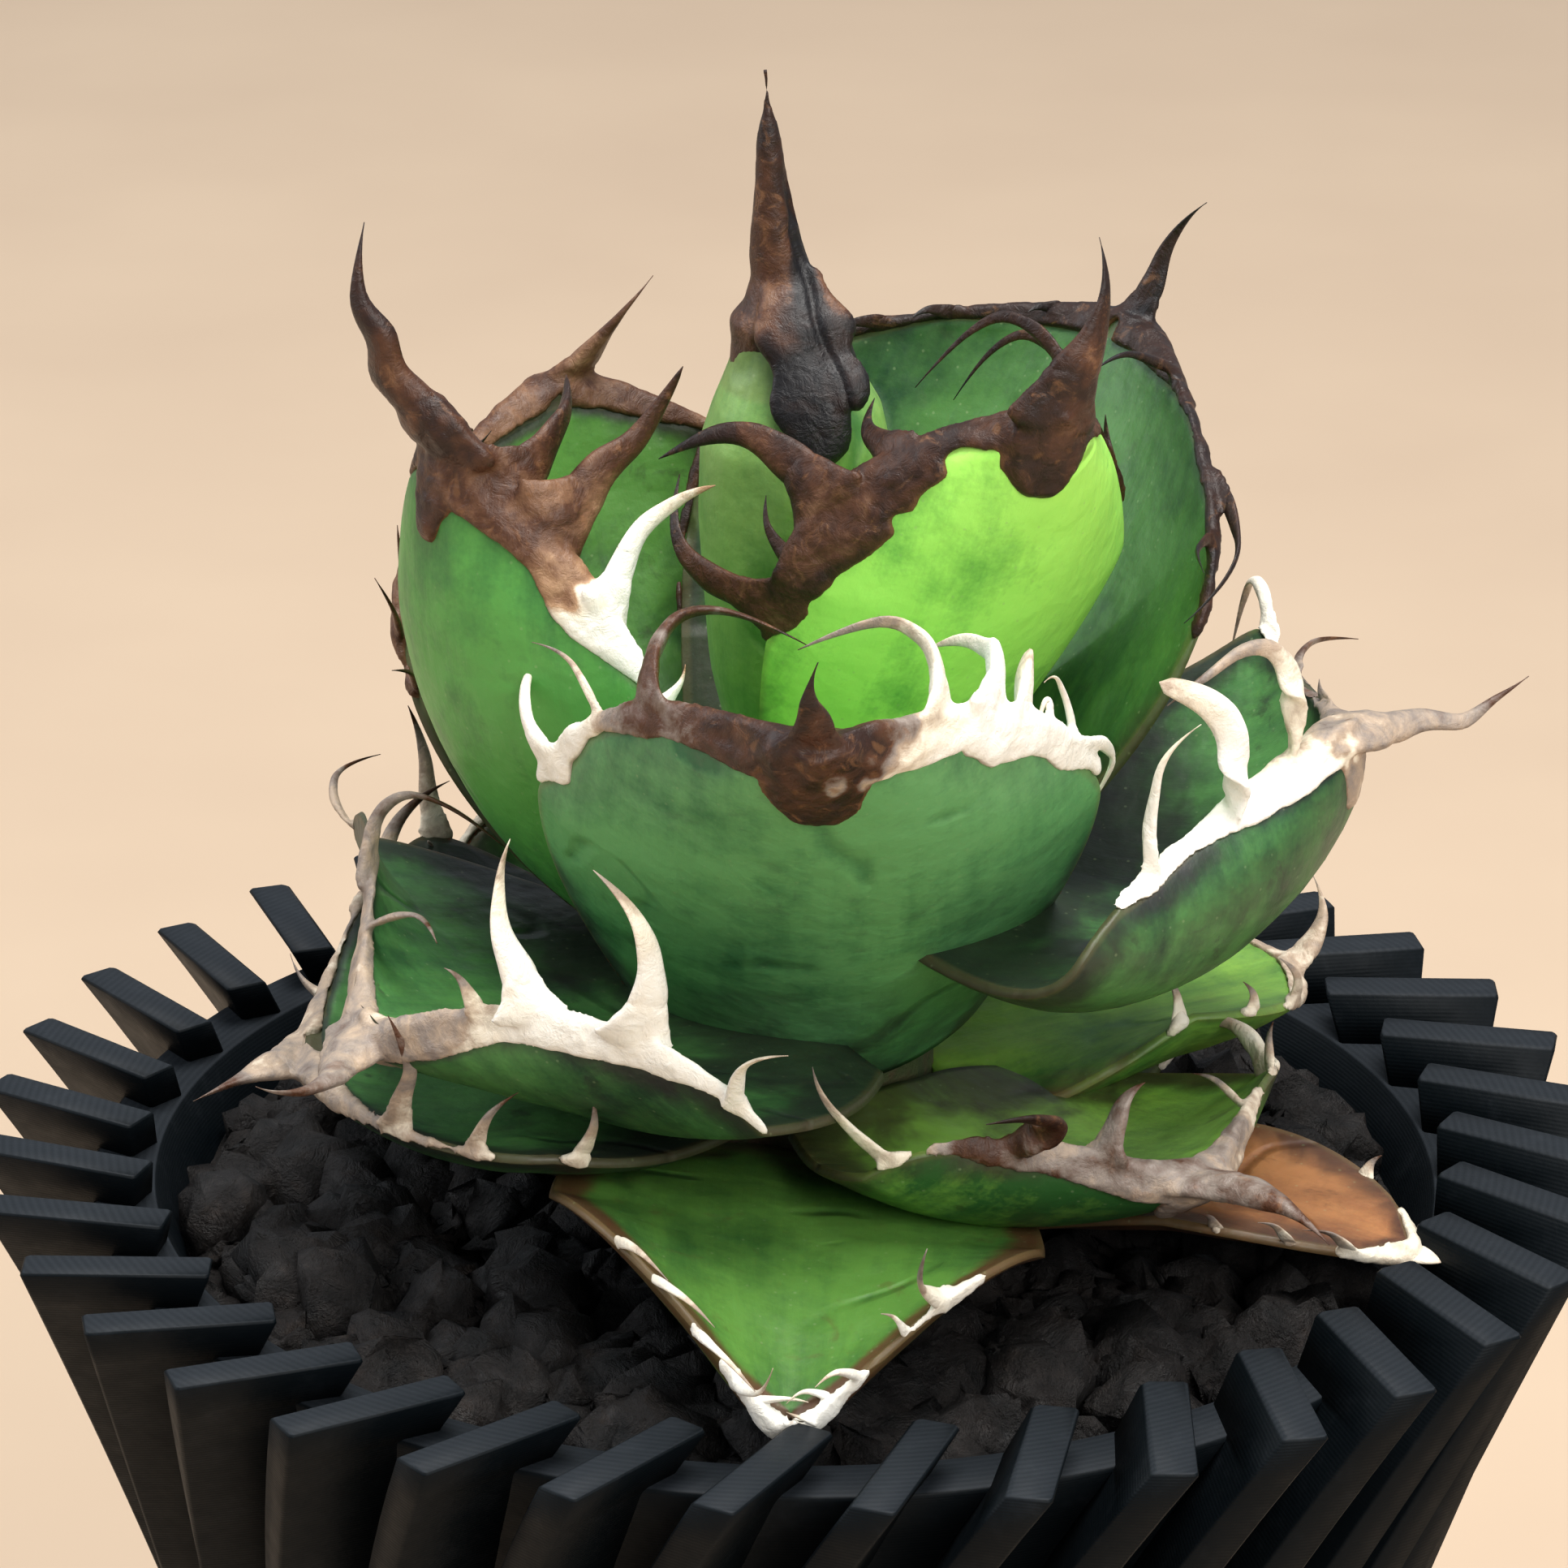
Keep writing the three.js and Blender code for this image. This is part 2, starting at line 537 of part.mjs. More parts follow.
// The bud's spine, with the tongue of horn that runs down the front of the cone from it.
function budHornOf(grow) {
  const curve = new THREE.QuadraticBezierCurve3(...BUD_TONGUE);
  const shape = { wide: 3.4 + grow, thick: 1.3 + grow, sides: 6, steps: 4, fullness: 3 };
  const tongue = hornAlong(curve, vec(1, 0, 0), shape);
  return trimmedBy(coneOf(BUD_HORN_RINGS, 8, grow).add(tongue), [budOf(CLEARANCE - grow)]);
}

// Pot

function rimRadius(z) {
  return FLARE_RADIUS + (RIM_RADIUS - FLARE_RADIUS) * Math.exp((z - POT_HEIGHT) / FLARE_LENGTH);
}

function cupRadius(z) {
  return rimRadius(z) - CUP_INSET;
}

// The two flanks of a fin at a height, from its outer end in to a given radius.
function finOutline(index, z, outerRadius, innerRadius) {
  const az = rad(FIRST_FIN + (index * 360) / FIN_COUNT - FIN_TWIST_PER_MM * (POT_HEIGHT - z));
  const heading = vec(Math.cos(az - rad(FIN_SWIRL)), Math.sin(az - rad(FIN_SWIRL)), 0);
  const flat = vec(-heading.y, heading.x, 0);
  const tip = vec(Math.cos(az) * outerRadius, Math.sin(az) * outerRadius, z);
  const flank = (sign) => {
    const end = tip.clone().addScaledVector(flat, (sign * FIN_THICKNESS) / 2);
    const run = end.x * heading.x + end.y * heading.y;
    const depth = run - Math.sqrt(run * run - end.x * end.x - end.y * end.y + innerRadius * innerRadius);
    return { end, root: end.clone().addScaledVector(heading, -depth) };
  };
  const right = flank(-1);
  const left = flank(1);
  return [right.root, right.end, left.end, left.root];
}

function finTop(index) {
  const low = POT_HEIGHT - CUP_DROP;
  const shape = (z) => finOutline(index, z, rimRadius(z), FIN_INNER_RADIUS);
  return loft([shape(low), shape(POT_HEIGHT)]);
}

// What fills the cup between two heights, at a distance inside its wall.
function fillOf(low, high, inset, sides) {
  const levels = [low, ...POT_LEVELS.slice(1, -1), high];
  const wall = levels.map((z) => new THREE.Vector2(cupRadius(z) - CUP_WALL - inset, z));
  return turned([new THREE.Vector2(0, low), ...wall, new THREE.Vector2(0, high)], sides);
}

function potOf() {
  const fins = Array.from({ length: FIN_COUNT }, (_, i) => i);
  const outlineAt = (z) => fins.flatMap((i) => finOutline(i, z, rimRadius(z), cupRadius(z)));
  const body = loft(POT_LEVELS.map(outlineAt), earsOf);
  const drain = new THREE.CylinderGeometry(DRAIN_RADIUS, DRAIN_RADIUS, 4 * FLOOR_THICKNESS, 12);
  const cavity = fillOf(FLOOR_THICKNESS, POT_HEIGHT, 0, FIN_COUNT);
  const hollow = cavity.add(solidFromGeometry(drain).rotate([90, 0, 0]));
  return wasm.Manifold.union([body.subtract(hollow), ...fins.map(finTop)]);
}

// Gravel that fills the cup, with the stones on its top standing out of it.
function gravelOf() {
  const top = POT_HEIGHT - GRAVEL_DEPTH;
  const inset = CLEARANCE + 0.3;
  const reachAtTop = cupRadius(top) - CUP_WALL - inset;
  const random = seededRandom(4127);
  const [small, large] = STONE_SIZE;
  const stones = Array.from({ length: STONE_COUNT }, (_, i) => {
    const size = lerp(small, large, random());
    const reach = lerp(11, reachAtTop - size, Math.sqrt((i + 0.5) / STONE_COUNT));
    const az = rad(137.5 * i + 20 * random());
    const stone = new THREE.IcosahedronGeometry(size, 0);
    stone.scale(1, 0.8 + 0.3 * random(), 0.75);
    stone.rotateX(3 * random()).rotateZ(6 * random());
    stone.translate(Math.cos(az) * reach, Math.sin(az) * reach, top + size * (0.05 + 0.35 * random()));
    return solidFromGeometry(stone);
  });
  const bed = fillOf(FLOOR_THICKNESS + CLEARANCE, top, inset, 24);
  return wasm.Manifold.union([bed, ...stones]);
}

// Assembly

const finish = (color, roughness) => new THREE.MeshStandardMaterial({ color, roughness, metalness: 0 });
const BLACK_PLASTIC = finish(0x15171c, 0.45);
const BLACK_GRAVEL = finish(0x1c1a19, 0.95);
const GREEN_FLESH = finish(0x3f8f3a, 0.5);
const DRY_FLESH = finish(0x9a5a2c, 0.7);
const BROWN_HORN = finish(0x5a3a28, 0.6);
const WHITE_HORN = finish(0xcfc7b8, 0.65);
const CORKY_STEM = finish(0x5f6b3a, 0.8);
const BROWN_HORNED = ["01", "02", "03", "05"];

function named(name, solid, material) {
  const mesh = new THREE.Mesh(geometryOfSolid(solid), material);
  mesh.name = name;
  return mesh;
}

LEAVES.forEach(prepare);
const rosette = new THREE.Group();
rosette.position.set(ROSETTE_OFFSET, 0, POT_HEIGHT);
rosette.add(named("stem", stemOf(0), CORKY_STEM));
rosette.add(named("bud_blade", budOf(0), GREEN_FLESH));
rosette.add(named("bud_horn", budHornOf(0), BROWN_HORN));

const core = [stemOf(CLEARANCE), budOf(CLEARANCE), budHornOf(CLEARANCE)];
const envelopes = LEAVES.map(envelopeOf);
const horns = [];
LEAVES.forEach((leaf, i) => {
  const others = envelopes.filter((_, k) => k !== i);
  const horn = trimmedBy(hornOf(leaf, 0), [...core, ...others, ...horns]);
  horns.push(hornOf(leaf, CLEARANCE));
  const blade = trimmedBy(bladeOf(leaf), [...core, ...envelopes.slice(0, i), ...horns]);
  rosette.add(named(`leaf_${leaf.id}_blade`, blade, leaf.id === DEAD_LEAF ? DRY_FLESH : GREEN_FLESH));
  const material = BROWN_HORNED.includes(leaf.id) ? BROWN_HORN : WHITE_HORN;
  rosette.add(named(`leaf_${leaf.id}_horn`, horn, material));
});

const lifted = [core[0], ...envelopes, ...horns].map((solid) => solid.translate(rosette.position.toArray()));
const plant = new THREE.Group();
plant.add(named("pot", trimmedBy(potOf(), lifted), BLACK_PLASTIC));
plant.add(named("gravel", trimmedBy(gravelOf(), lifted), BLACK_GRAVEL));
plant.add(rosette);

export default plant;
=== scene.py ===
"""Looks of a potted agave titanota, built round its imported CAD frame.

Sizes are in millimetres in this file and become metres when a mesh is made, except in the studio. The
rosette has a frame of its own, on the plane of the pot's rim. Angles are in degrees, anticlockwise from +X as
seen from above.
"""

import itertools
import json
import logging
import math
from collections.abc import Sequence
from dataclasses import dataclass, field
from enum import Enum

import bmesh
import bpy
import numpy as np
from mathutils import Matrix, Vector, kdtree

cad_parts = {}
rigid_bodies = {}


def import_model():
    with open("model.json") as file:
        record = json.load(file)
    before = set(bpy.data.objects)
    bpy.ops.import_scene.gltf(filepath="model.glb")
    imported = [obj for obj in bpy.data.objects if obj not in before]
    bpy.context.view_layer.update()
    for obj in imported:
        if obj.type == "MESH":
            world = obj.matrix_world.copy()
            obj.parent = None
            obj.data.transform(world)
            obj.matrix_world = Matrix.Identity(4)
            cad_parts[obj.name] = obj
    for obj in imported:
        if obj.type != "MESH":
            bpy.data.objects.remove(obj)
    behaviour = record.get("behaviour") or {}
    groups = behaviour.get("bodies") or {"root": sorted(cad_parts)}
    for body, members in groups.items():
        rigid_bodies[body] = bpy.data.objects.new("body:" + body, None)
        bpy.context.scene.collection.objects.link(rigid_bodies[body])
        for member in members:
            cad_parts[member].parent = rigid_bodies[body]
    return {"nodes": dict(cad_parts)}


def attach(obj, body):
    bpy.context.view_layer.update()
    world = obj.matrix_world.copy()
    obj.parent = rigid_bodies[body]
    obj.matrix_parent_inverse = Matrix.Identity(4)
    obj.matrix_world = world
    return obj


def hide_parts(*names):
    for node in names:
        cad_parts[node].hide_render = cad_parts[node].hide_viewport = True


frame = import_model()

logging.basicConfig(level=logging.INFO, format="%(message)s")
log = logging.getLogger("agave")

MM = 0.001
EVENING = 0.6  # how far a corner goes towards its neighbours' mean in one round
CARRIED_ROUNDS = 6  # how often values that are carried over to a new skin are evened
POT_HEIGHT = 90.0
ROSETTE = np.array([1.0, 0.0, POT_HEIGHT])
Array = np.ndarray
Colour = tuple[float, float, float]


# Numbers


def lerp(a: Array | float, b: Array | float, share: Array | float) -> Array | float:
    """Returns the value that lies a share of the way from a to b."""
    return a + (b - a) * share


def smoothstep(low: float, high: float, value: Array) -> Array:
    """Returns 0 below low and 1 above high, with a soft passage between them."""
    share = np.clip((value - low) / (high - low), 0, 1)
    return share * share * (3 - 2 * share)


def unit(vectors: Array) -> Array:
    """Returns the vectors at length one."""
    return vectors / np.maximum(np.linalg.norm(vectors, axis=-1, keepdims=True), 1e-9)


def noise(points: Array, size: float, seed: int) -> Array:
    """Gives smooth noise in space.

    Args:
        points: Places, one a row.
        size: How far apart the noise's hills are.
        seed: Picks one pattern.

    Returns:
        A value from -1 to 1 for each place.
    """
    places = points / size
    cell = np.floor(places).astype(np.int64)
    part = places - cell
    part = part * part * (3 - 2 * part)
    total = np.zeros(len(points))
    for corner in itertools.product((0, 1), repeat=3):
        x, y, z = (cell + corner).T
        mixed = (x * 73856093 ^ y * 19349663 ^ z * 83492791 ^ seed * 97531) & 0xFFFFFFFF
        mixed = ((mixed ^ (mixed >> 13)) * 1274126177) & 0xFFFFFFFF
        height = ((mixed >> 9) & 0xFFFF) / 32767.5 - 1
        weight = np.prod(np.where(np.array(corner) == 1, part, 1 - part), axis=1)
        total += height * weight
    return total


def ripple(places: Array, size: float, seed: int) -> Array:
    """Returns smooth noise from -1 to 1 along a line."""
    return noise(np.stack([places, 0 * places + 0.37, 0 * places + 0.61], -1), size, seed)


# Meshes


@dataclass
class Shell:
    """A closed surface in millimetres.

    Attributes:
        points: Corner places, one a row.
        faces: Corner numbers of each face.
        values: A value for each corner under each attribute name.
    """

    points: Array
    faces: list[tuple[int, ...]]
    values: dict[str, Array] = field(default_factory=dict)


def joined(shells: list[Shell]) -> Shell:
    """Puts several shells in one.

    Args:
        shells: Shells that have the same attribute names.

    Returns:
        One shell with all their faces.
    """
    faces: list[tuple[int, ...]] = []
    start = 0
    for shell in shells:
        faces += [tuple(corner + start for corner in face) for face in shell.faces]
        start += len(shell.points)
    names = shells[0].values
    values = {name: np.concatenate([shell.values[name] for shell in shells]) for name in names}
    return Shell(np.concatenate([shell.points for shell in shells]), faces, values)


def lofted(rings: Array, values: dict[str, Array]) -> Shell:
    """Joins rings of corners in one closed shell with flat ends.

    Args:
        rings: Corner places by ring, by corner, by axis.
        values: A value for each corner of each ring under each attribute name.

    Returns:
        The shell.
    """
    count, side, _ = rings.shape
    i, k = np.meshgrid(np.arange(count - 1), np.arange(side), indexing="ij")
    a = (i * side + k).ravel()
    b = (i * side + (k + 1) % side).ravel()
    faces = [tuple(face) for face in np.stack([a, b, b + side, a + side], -1).tolist()]
    faces.append(tuple(range(side))[::-1])
    faces.append(tuple(range((count - 1) * side, count * side)))
    flat = {name: np.broadcast_to(value, (count, side)).ravel() for name, value in values.items()}
    return Shell(rings.reshape(-1, 3), faces, flat)


def as_mesh(name: str, shell: Shell, scale: float = MM) -> bpy.types.Mesh:
    """Makes a mesh of a shell.

    Args:
        name: The mesh's name.
        shell: The surface.
        scale: The size of a millimetre in the mesh.

    Returns:
        The mesh, smooth shaded, with its faces outwards.
    """
    mesh = bpy.data.meshes.new(name)
    mesh.from_pydata((shell.points * scale).tolist(), [], shell.faces)
    for key, value in shell.values.items():
        layer = mesh.attributes.new(key, "FLOAT", "POINT")
        layer.data.foreach_set("value", np.ascontiguousarray(value, np.float32))
    sculpt = bmesh.new()
    sculpt.from_mesh(mesh)
    bmesh.ops.recalc_face_normals(sculpt, faces=sculpt.faces)
    sculpt.to_mesh(mesh)
    sculpt.free()
    mesh.shade_smooth()
    return mesh


def as_shell(mesh: bpy.types.Mesh) -> Shell:
    """Returns a mesh's corners and faces as a shell, in the mesh's own units."""
    points = np.empty(len(mesh.vertices) * 3, np.float32)
    mesh.vertices.foreach_get("co", points)
    return Shell(points.reshape(-1, 3).astype(float), [tuple(face.vertices) for face in mesh.polygons])


def edges_of(shell: Shell) -> Array:
    """Returns the corner pairs of a shell's edges, each at least once."""
    pairs = [(a, b) for face in shell.faces for a, b in zip(face, face[1:] + face[:1])]
    return np.array(pairs)


def evened(shell: Shell, rows: Array, rounds: int) -> Array:
    """Moves a value of each corner towards the mean of its neighbours.

    Args:
        shell: The surface.
        rows: The values, one row for each corner.
        rounds: How many times it is done.

    Returns:
        The smoother values.
    """
    a, b = edges_of(shell).T
    near = np.bincount(a, minlength=len(rows)) + np.bincount(b, minlength=len(rows))
    count = len(rows)
    for _ in range(rounds):
        total = [np.bincount(a, row[b], count) + np.bincount(b, row[a], count) for row in rows.T]
        rows = lerp(rows, np.stack(total, -1) / near[:, None], EVENING)
    return rows


def smoothed(shell: Shell, rounds: int) -> Shell:
    """Returns the shell with each corner moved towards its neighbours, so many times over."""
    return Shell(evened(shell, shell.points, rounds), shell.faces, shell.values)


def normals_of(shell: Shell) -> Array:
    """Returns the outward direction at each corner of a shell."""
    mesh = as_mesh("normals", shell, 1.0)
    normals = np.empty(len(shell.points) * 3, np.float32)
    mesh.vertex_normals.foreach_get("vector", normals)
    bpy.data.meshes.remove(mesh)
    return normals.reshape(-1, 3).astype(float)


def roughened(shell: Shell, layers: list[tuple[float, float]], seed: int) -> Shell:
    """Pushes a surface in and out with noise.

    Args:
        shell: The surface.
        layers: Depth and hill size of each layer of noise.
        seed: Picks one pattern.

    Returns:
        The rough shell.
    """
    push = sum(depth * noise(shell.points, size, seed + i) for i, (depth, size) in enumerate(layers))
    return Shell(shell.points + normals_of(shell) * push[:, None], shell.faces, shell.values)


def grown_together(shells: list[Shell], grain: float, rounds: int) -> Shell:
    """Melts overlapping shells in one skin, and carries their values over to it.

    Args:
        shells: Closed shells that overlap.
        grain: Size of the new faces.
        rounds: How far the new skin is smoothed.

    Returns:
        The new skin.
    """
    source = joined(shells)
    holder = bpy.data.objects.new("melting", as_mesh("melting", source, 1.0))
    bpy.context.scene.collection.objects.link(holder)
    remesh = holder.modifiers.new("skin", "REMESH")
    remesh.mode = "VOXEL"
    remesh.voxel_size = grain
    graph = bpy.context.evaluated_depsgraph_get()
    mesh = bpy.data.meshes.new_from_object(holder.evaluated_get(graph))
    bpy.data.objects.remove(holder)
    skin = smoothed(as_shell(mesh), rounds)
    bpy.data.meshes.remove(mesh)
    tree = kdtree.KDTree(len(source.points))
    for i, point in enumerate(source.points):
        tree.insert(point, i)
    tree.balance()
    nearest = np.array([tree.find(point)[1] for point in skin.points])
    for name, value in source.values.items():
        skin.values[name] = evened(skin, value[nearest][:, None], CARRIED_ROUNDS)[:, 0]
    return skin


def placed(
    name: str, mesh: bpy.types.Mesh, material: bpy.types.Material, nodes: list[str]
) -> bpy.types.Object:
    """Makes a mesh a piece of the plant that stands for CAD nodes.

    Args:
        name: The piece's name.
        mesh: Its mesh, in metres.
        material: Its material.
        nodes: The CAD nodes that it stands for.

    Returns:
        The piece.
    """
    piece = bpy.data.objects.new(name, mesh)
    bpy.context.scene.collection.objects.link(piece)
    mesh.materials.clear()
    mesh.materials.append(material)
    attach(piece, "root")
    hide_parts(*nodes)
    log.info("%s: %d faces, for %s", name, len(mesh.polygons), ", ".join(nodes))
    return piece


# Materials

Socket = bpy.types.NodeSocket


@dataclass(frozen=True)
class Value:
    """A number that varies over a surface. What is worked out from it adds Math nodes to its recipe.

    Attributes:
        recipe: The recipe that it belongs to.
        socket: The node output that gives it.
    """

    recipe: "Recipe"
    socket: Socket

    def __add__(self, other: "Value | float") -> "Value":
        """Returns the sum with another value or a plain number."""
        return self.recipe.maths("ADD", self, other)

    def __sub__(self, other: "Value | float") -> "Value":
        """Returns this value less another one."""
        return self.recipe.maths("SUBTRACT", self, other)

    def __rsub__(self, other: float) -> "Value":
        """Returns a plain number less this value."""
        return self.recipe.maths("SUBTRACT", other, self)

    def __mul__(self, other: "Value | float") -> "Value":
        """Returns the product with another value or a plain number."""
        return self.recipe.maths("MULTIPLY", self, other)

    def __abs__(self) -> "Value":
        """Returns the value without its sign."""
        return self.recipe.maths("ABSOLUTE", self)


class Recipe:
    """Builds one procedural material, node by node."""

    def __init__(self, name: str) -> None:
        """Starts a material of the given name."""
        self.material = bpy.data.materials.new(name)
        self.material.use_nodes = True
        self.tree = self.material.node_tree
        self.shader = self.tree.nodes["Principled BSDF"]
        self.place = self.tree.nodes.new("ShaderNodeTexCoord").outputs["Object"]

    def feed(self, socket: Socket, value: Value | Socket | float | tuple) -> None:
        """Links a socket to what feeds it, or sets its constant."""
        if isinstance(value, Value):
            value = value.socket
        if isinstance(value, Socket):
            self.tree.links.new(value, socket)
        else:
            socket.default_value = value

    def own(self, name: str) -> Value:
        """Returns the mesh's own attribute of that name."""
        node = self.tree.nodes.new("ShaderNodeAttribute")
        node.attribute_name = name
        return Value(self, node.outputs["Fac"])

    def point(self, *parts: Value | float) -> Socket:
        """Returns a place made of its x, y and z."""
        node = self.tree.nodes.new("ShaderNodeCombineXYZ")
        for socket, part in zip(node.inputs, parts):
            self.feed(socket, part)
        return node.outputs[0]

    def parts(self, vector: Socket) -> list[Value]:
        """Returns the x, y and z of a vector."""
        node = self.tree.nodes.new("ShaderNodeSeparateXYZ")
        self.feed(node.inputs[0], vector)
        return [Value(self, part) for part in node.outputs]

    def cloud(self, size: float, detail: float = 3.0, roughness: float = 0.55, where: Socket | None = None,
              twist: float = 0.0) -> Value:
        """Makes noise.

        Args:
            size: Size of its hills in millimetres.
            detail: How many finer layers it has.
            roughness: How strong they are.
            where: The places that it reads, in millimetres, or the object's own.
            twist: How far it is bent by itself.

        Returns:
            A value from 0 to 1.
        """
        node = self.tree.nodes.new("ShaderNodeTexNoise")
        self.feed(node.inputs["Vector"], where or self.place)
        node.inputs["Scale"].default_value = 1 / (size * (MM if where is None else 1))
        node.inputs["Detail"].default_value = detail
        node.inputs["Roughness"].default_value = roughness
        node.inputs["Distortion"].default_value = twist
        return Value(self, node.outputs["Fac"])

    def cells(self, size: float) -> Value:
        """Returns the distance from the middle of the nearest of many random cells."""
        node = self.tree.nodes.new("ShaderNodeTexVoronoi")
        self.feed(node.inputs["Vector"], self.place)
        node.inputs["Scale"].default_value = 1 / (size * MM)
        return Value(self, node.outputs["Distance"])

    def ramp(self, value: Value, stops: list[tuple[float, Colour]]) -> Socket:
        """Returns the colour that a value has between stops, each a place from 0 to 1 with its colour."""
        node = self.tree.nodes.new("ShaderNodeValToRGB")
        self.feed(node.inputs[0], value)
        bar = node.color_ramp.elements
        while len(bar) < len(stops):
            bar.new(0.5)
        for stop, (place, colour) in zip(bar, stops):
            stop.position = place
            stop.color = (*colour, 1)
        return node.outputs[0]

    def mixed(self, share: Value, a: Socket | Colour, b: Socket | Colour) -> Socket:
        """Returns a colour between two others."""
        node = self.tree.nodes.new("ShaderNodeMix")
        node.data_type = "RGBA"
        node.clamp_factor = True
        self.feed(node.inputs[0], share)
        for socket, colour in ((node.inputs[6], a), (node.inputs[7], b)):
            self.feed(socket, colour if isinstance(colour, Socket) else (*colour, 1))
        return node.outputs[2]

    def layered(self, colour: Socket, layers: list[tuple[Value, Colour]]) -> Socket:
        """Returns a colour with others laid over it in turn, each as far as its share says."""
        for share, over in layers:
            colour = self.mixed(share, colour, over)
        return colour

    def maths(self, operation: str, a: Value | float, b: Value | float = 0.0, clamp: bool = False) -> Value:
        """Returns the result of an operation on two values, kept from 0 to 1 if it is clamped."""
        node = self.tree.nodes.new("ShaderNodeMath")
        node.operation = operation
        node.use_clamp = clamp
        self.feed(node.inputs[0], a)
        self.feed(node.inputs[1], b)
        return Value(self, node.outputs[0])

    def waves(self, value: Value, size: float) -> Value:
        """Returns waves from -1 to 1 along a value in metres, each as long as a size in millimetres."""
        return self.maths("SINE", value * (2 * math.pi / (size * MM)))

    def within(self, value: Value, low: float, high: float) -> Value:
        """Returns 0 where a value is under low and 1 where it is over high."""
        node = self.tree.nodes.new("ShaderNodeMapRange")
        node.interpolation_type = "SMOOTHSTEP"
        self.feed(node.inputs["Value"], value)
        node.inputs["From Min"].default_value = low
        node.inputs["From Max"].default_value = high
        return Value(self, node.outputs["Result"])

    def relief(self, layers: list[tuple[Value, float]]) -> None:
        """Gives the surface bumps, each layer with its depth in millimetres."""
        normal = None
        for height, depth in layers:
            node = self.tree.nodes.new("ShaderNodeBump")
            node.inputs["Distance"].default_value = depth * MM
            self.feed(node.inputs["Height"], height)
            if normal is not None:
                self.feed(node.inputs["Normal"], normal)
            normal = node.outputs["Normal"]
        self.feed(self.shader.inputs["Normal"], normal)

    def finished(self, colour: Socket, roughness: Value | float, **constants: float) -> bpy.types.Material:
        """Wires the shader.

        Args:
            colour: The base colour.
            roughness: The roughness.
            **constants: Other shader inputs, with underscores for spaces.

        Returns:
            The finished material.
        """
        self.feed(self.shader.inputs["Base Color"], colour)
        self.feed(self.shader.inputs["Roughness"], roughness)
        for name, value in constants.items():
            self.shader.inputs[name.replace("_", " ")].default_value = value
        return self.material


@dataclass(frozen=True)
class Flesh:
    """The waxy skin of a leaf.

    Attributes:
        light: Colour of its brightest patches.
        deep: Colour of its darker patches.
        blush: Colour of the discolouring along its margins and in blotches, laid also on its base as painted
            shade.
        stain: How much of it takes that colour, as discolouring and as painted shade at its base, from 0 to 1.
        shade: Where between light and deep it mostly is.
        outside: How much darker its outer face is, as painted shade on the face turned from the light.
        margin: How strongly the discolouring follows the margins.
        seam: Colour of the thin line along its margins.
        bloom: Colour of the wax that lies on it in clouds.
        speck: Colour of its small pale specks.
    """

    light: Colour = (0.16, 0.36, 0.03)
    deep: Colour = (0.03, 0.13, 0.03)
    blush: Colour = (0.05, 0.035, 0.025)
    stain: float = 0.3
    shade: float = 0.5
    outside: float = 0.0
    margin: float = 0.35
    seam: Colour = (0.16, 0.13, 0.05)
    bloom: Colour = (0.26, 0.38, 0.22)
    speck: Colour = (0.34, 0.42, 0.22)

    def material(self, name: str) -> bpy.types.Material:
        """Returns the skin as a material of the given name."""
        recipe = Recipe(name)
        run, side, rim = (recipe.own(key) for key in ("run", "side", "rim"))
        streaks = recipe.cloud(2.2, 4, 0.6, recipe.point(side, run * 0.12, 0.0))
        patches = recipe.cloud(13, 3, 0.5, twist=0.4)
        tone = streaks * 0.7 + patches * 1.7
        tone += recipe.cloud(2.6, 4, 0.65, twist=0.3) * 0.6
        tone += recipe.cloud(0.35, 2, 0.6) * 0.25
        # The outer face is painted darker than the inner one: painted shade.
        tone += self.shade - 1.52 - self.outside
        tone += recipe.own("inner") * self.outside
        # Darker within 6 mm of the horn: painted shade under its edge.
        tone += recipe.within(rim, 0.0, 6.0) * 0.16
        crease = 1 - recipe.within(abs(recipe.cloud(15, 1, 0.4, twist=0.3) - 0.5), 0.0, 0.035)
        crease *= recipe.within(recipe.cloud(9, 1), 0.5, 0.62)
        tone -= crease * 0.3
        middle = tuple(lerp(np.array(self.deep), np.array(self.light), 0.45))
        green = recipe.ramp(tone, [(0.2, self.deep), (0.5, middle), (0.85, self.light)])
        edge = 1 - recipe.within(rim, 0.2, 4.5)
        # That colour goes on the margins and in clouds as discolouring, and on the leaf's base as painted shade
        # where it lies deep in the rosette.
        stain_and_base_shade = edge * self.margin + recipe.own("low") * 0.5 + recipe.cloud(7, 4, 0.6, twist=0.6) * 0.9
        stained_and_base_shaded = recipe.within(stain_and_base_shade, 1.05 - self.stain, 1.45 - self.stain)
        blotches = recipe.within(recipe.cloud(3.4, 5, 0.65, twist=0.5), 0.57, 0.7)
        colour = recipe.layered(green, [
            (stained_and_base_shaded * 0.85, self.blush),
            (blotches * (0.8 * self.stain), self.blush),
            ((1 - recipe.within(rim, 0.1, 0.6)) * 0.3, self.seam),
            (recipe.within(recipe.cloud(4, 6, 0.7), 0.52, 0.8) * 0.07, self.bloom),
            ((1 - recipe.within(recipe.cells(1.1), 0.05, 0.13)) * 0.22, self.speck),
        ])
        recipe.relief([(recipe.cloud(6, 3, 0.5), 0.5), (recipe.cloud(0.5, 3, 0.6), 0.03), (streaks, 0.08),
                       (1 - crease, 0.2)])
        rough = recipe.cloud(1.6, 4, 0.6) * 0.22 + 0.36
        return recipe.finished(colour, rough, Subsurface_Weight=0.08, Subsurface_Scale=0.002,
                               Specular_IOR_Level=0.42)


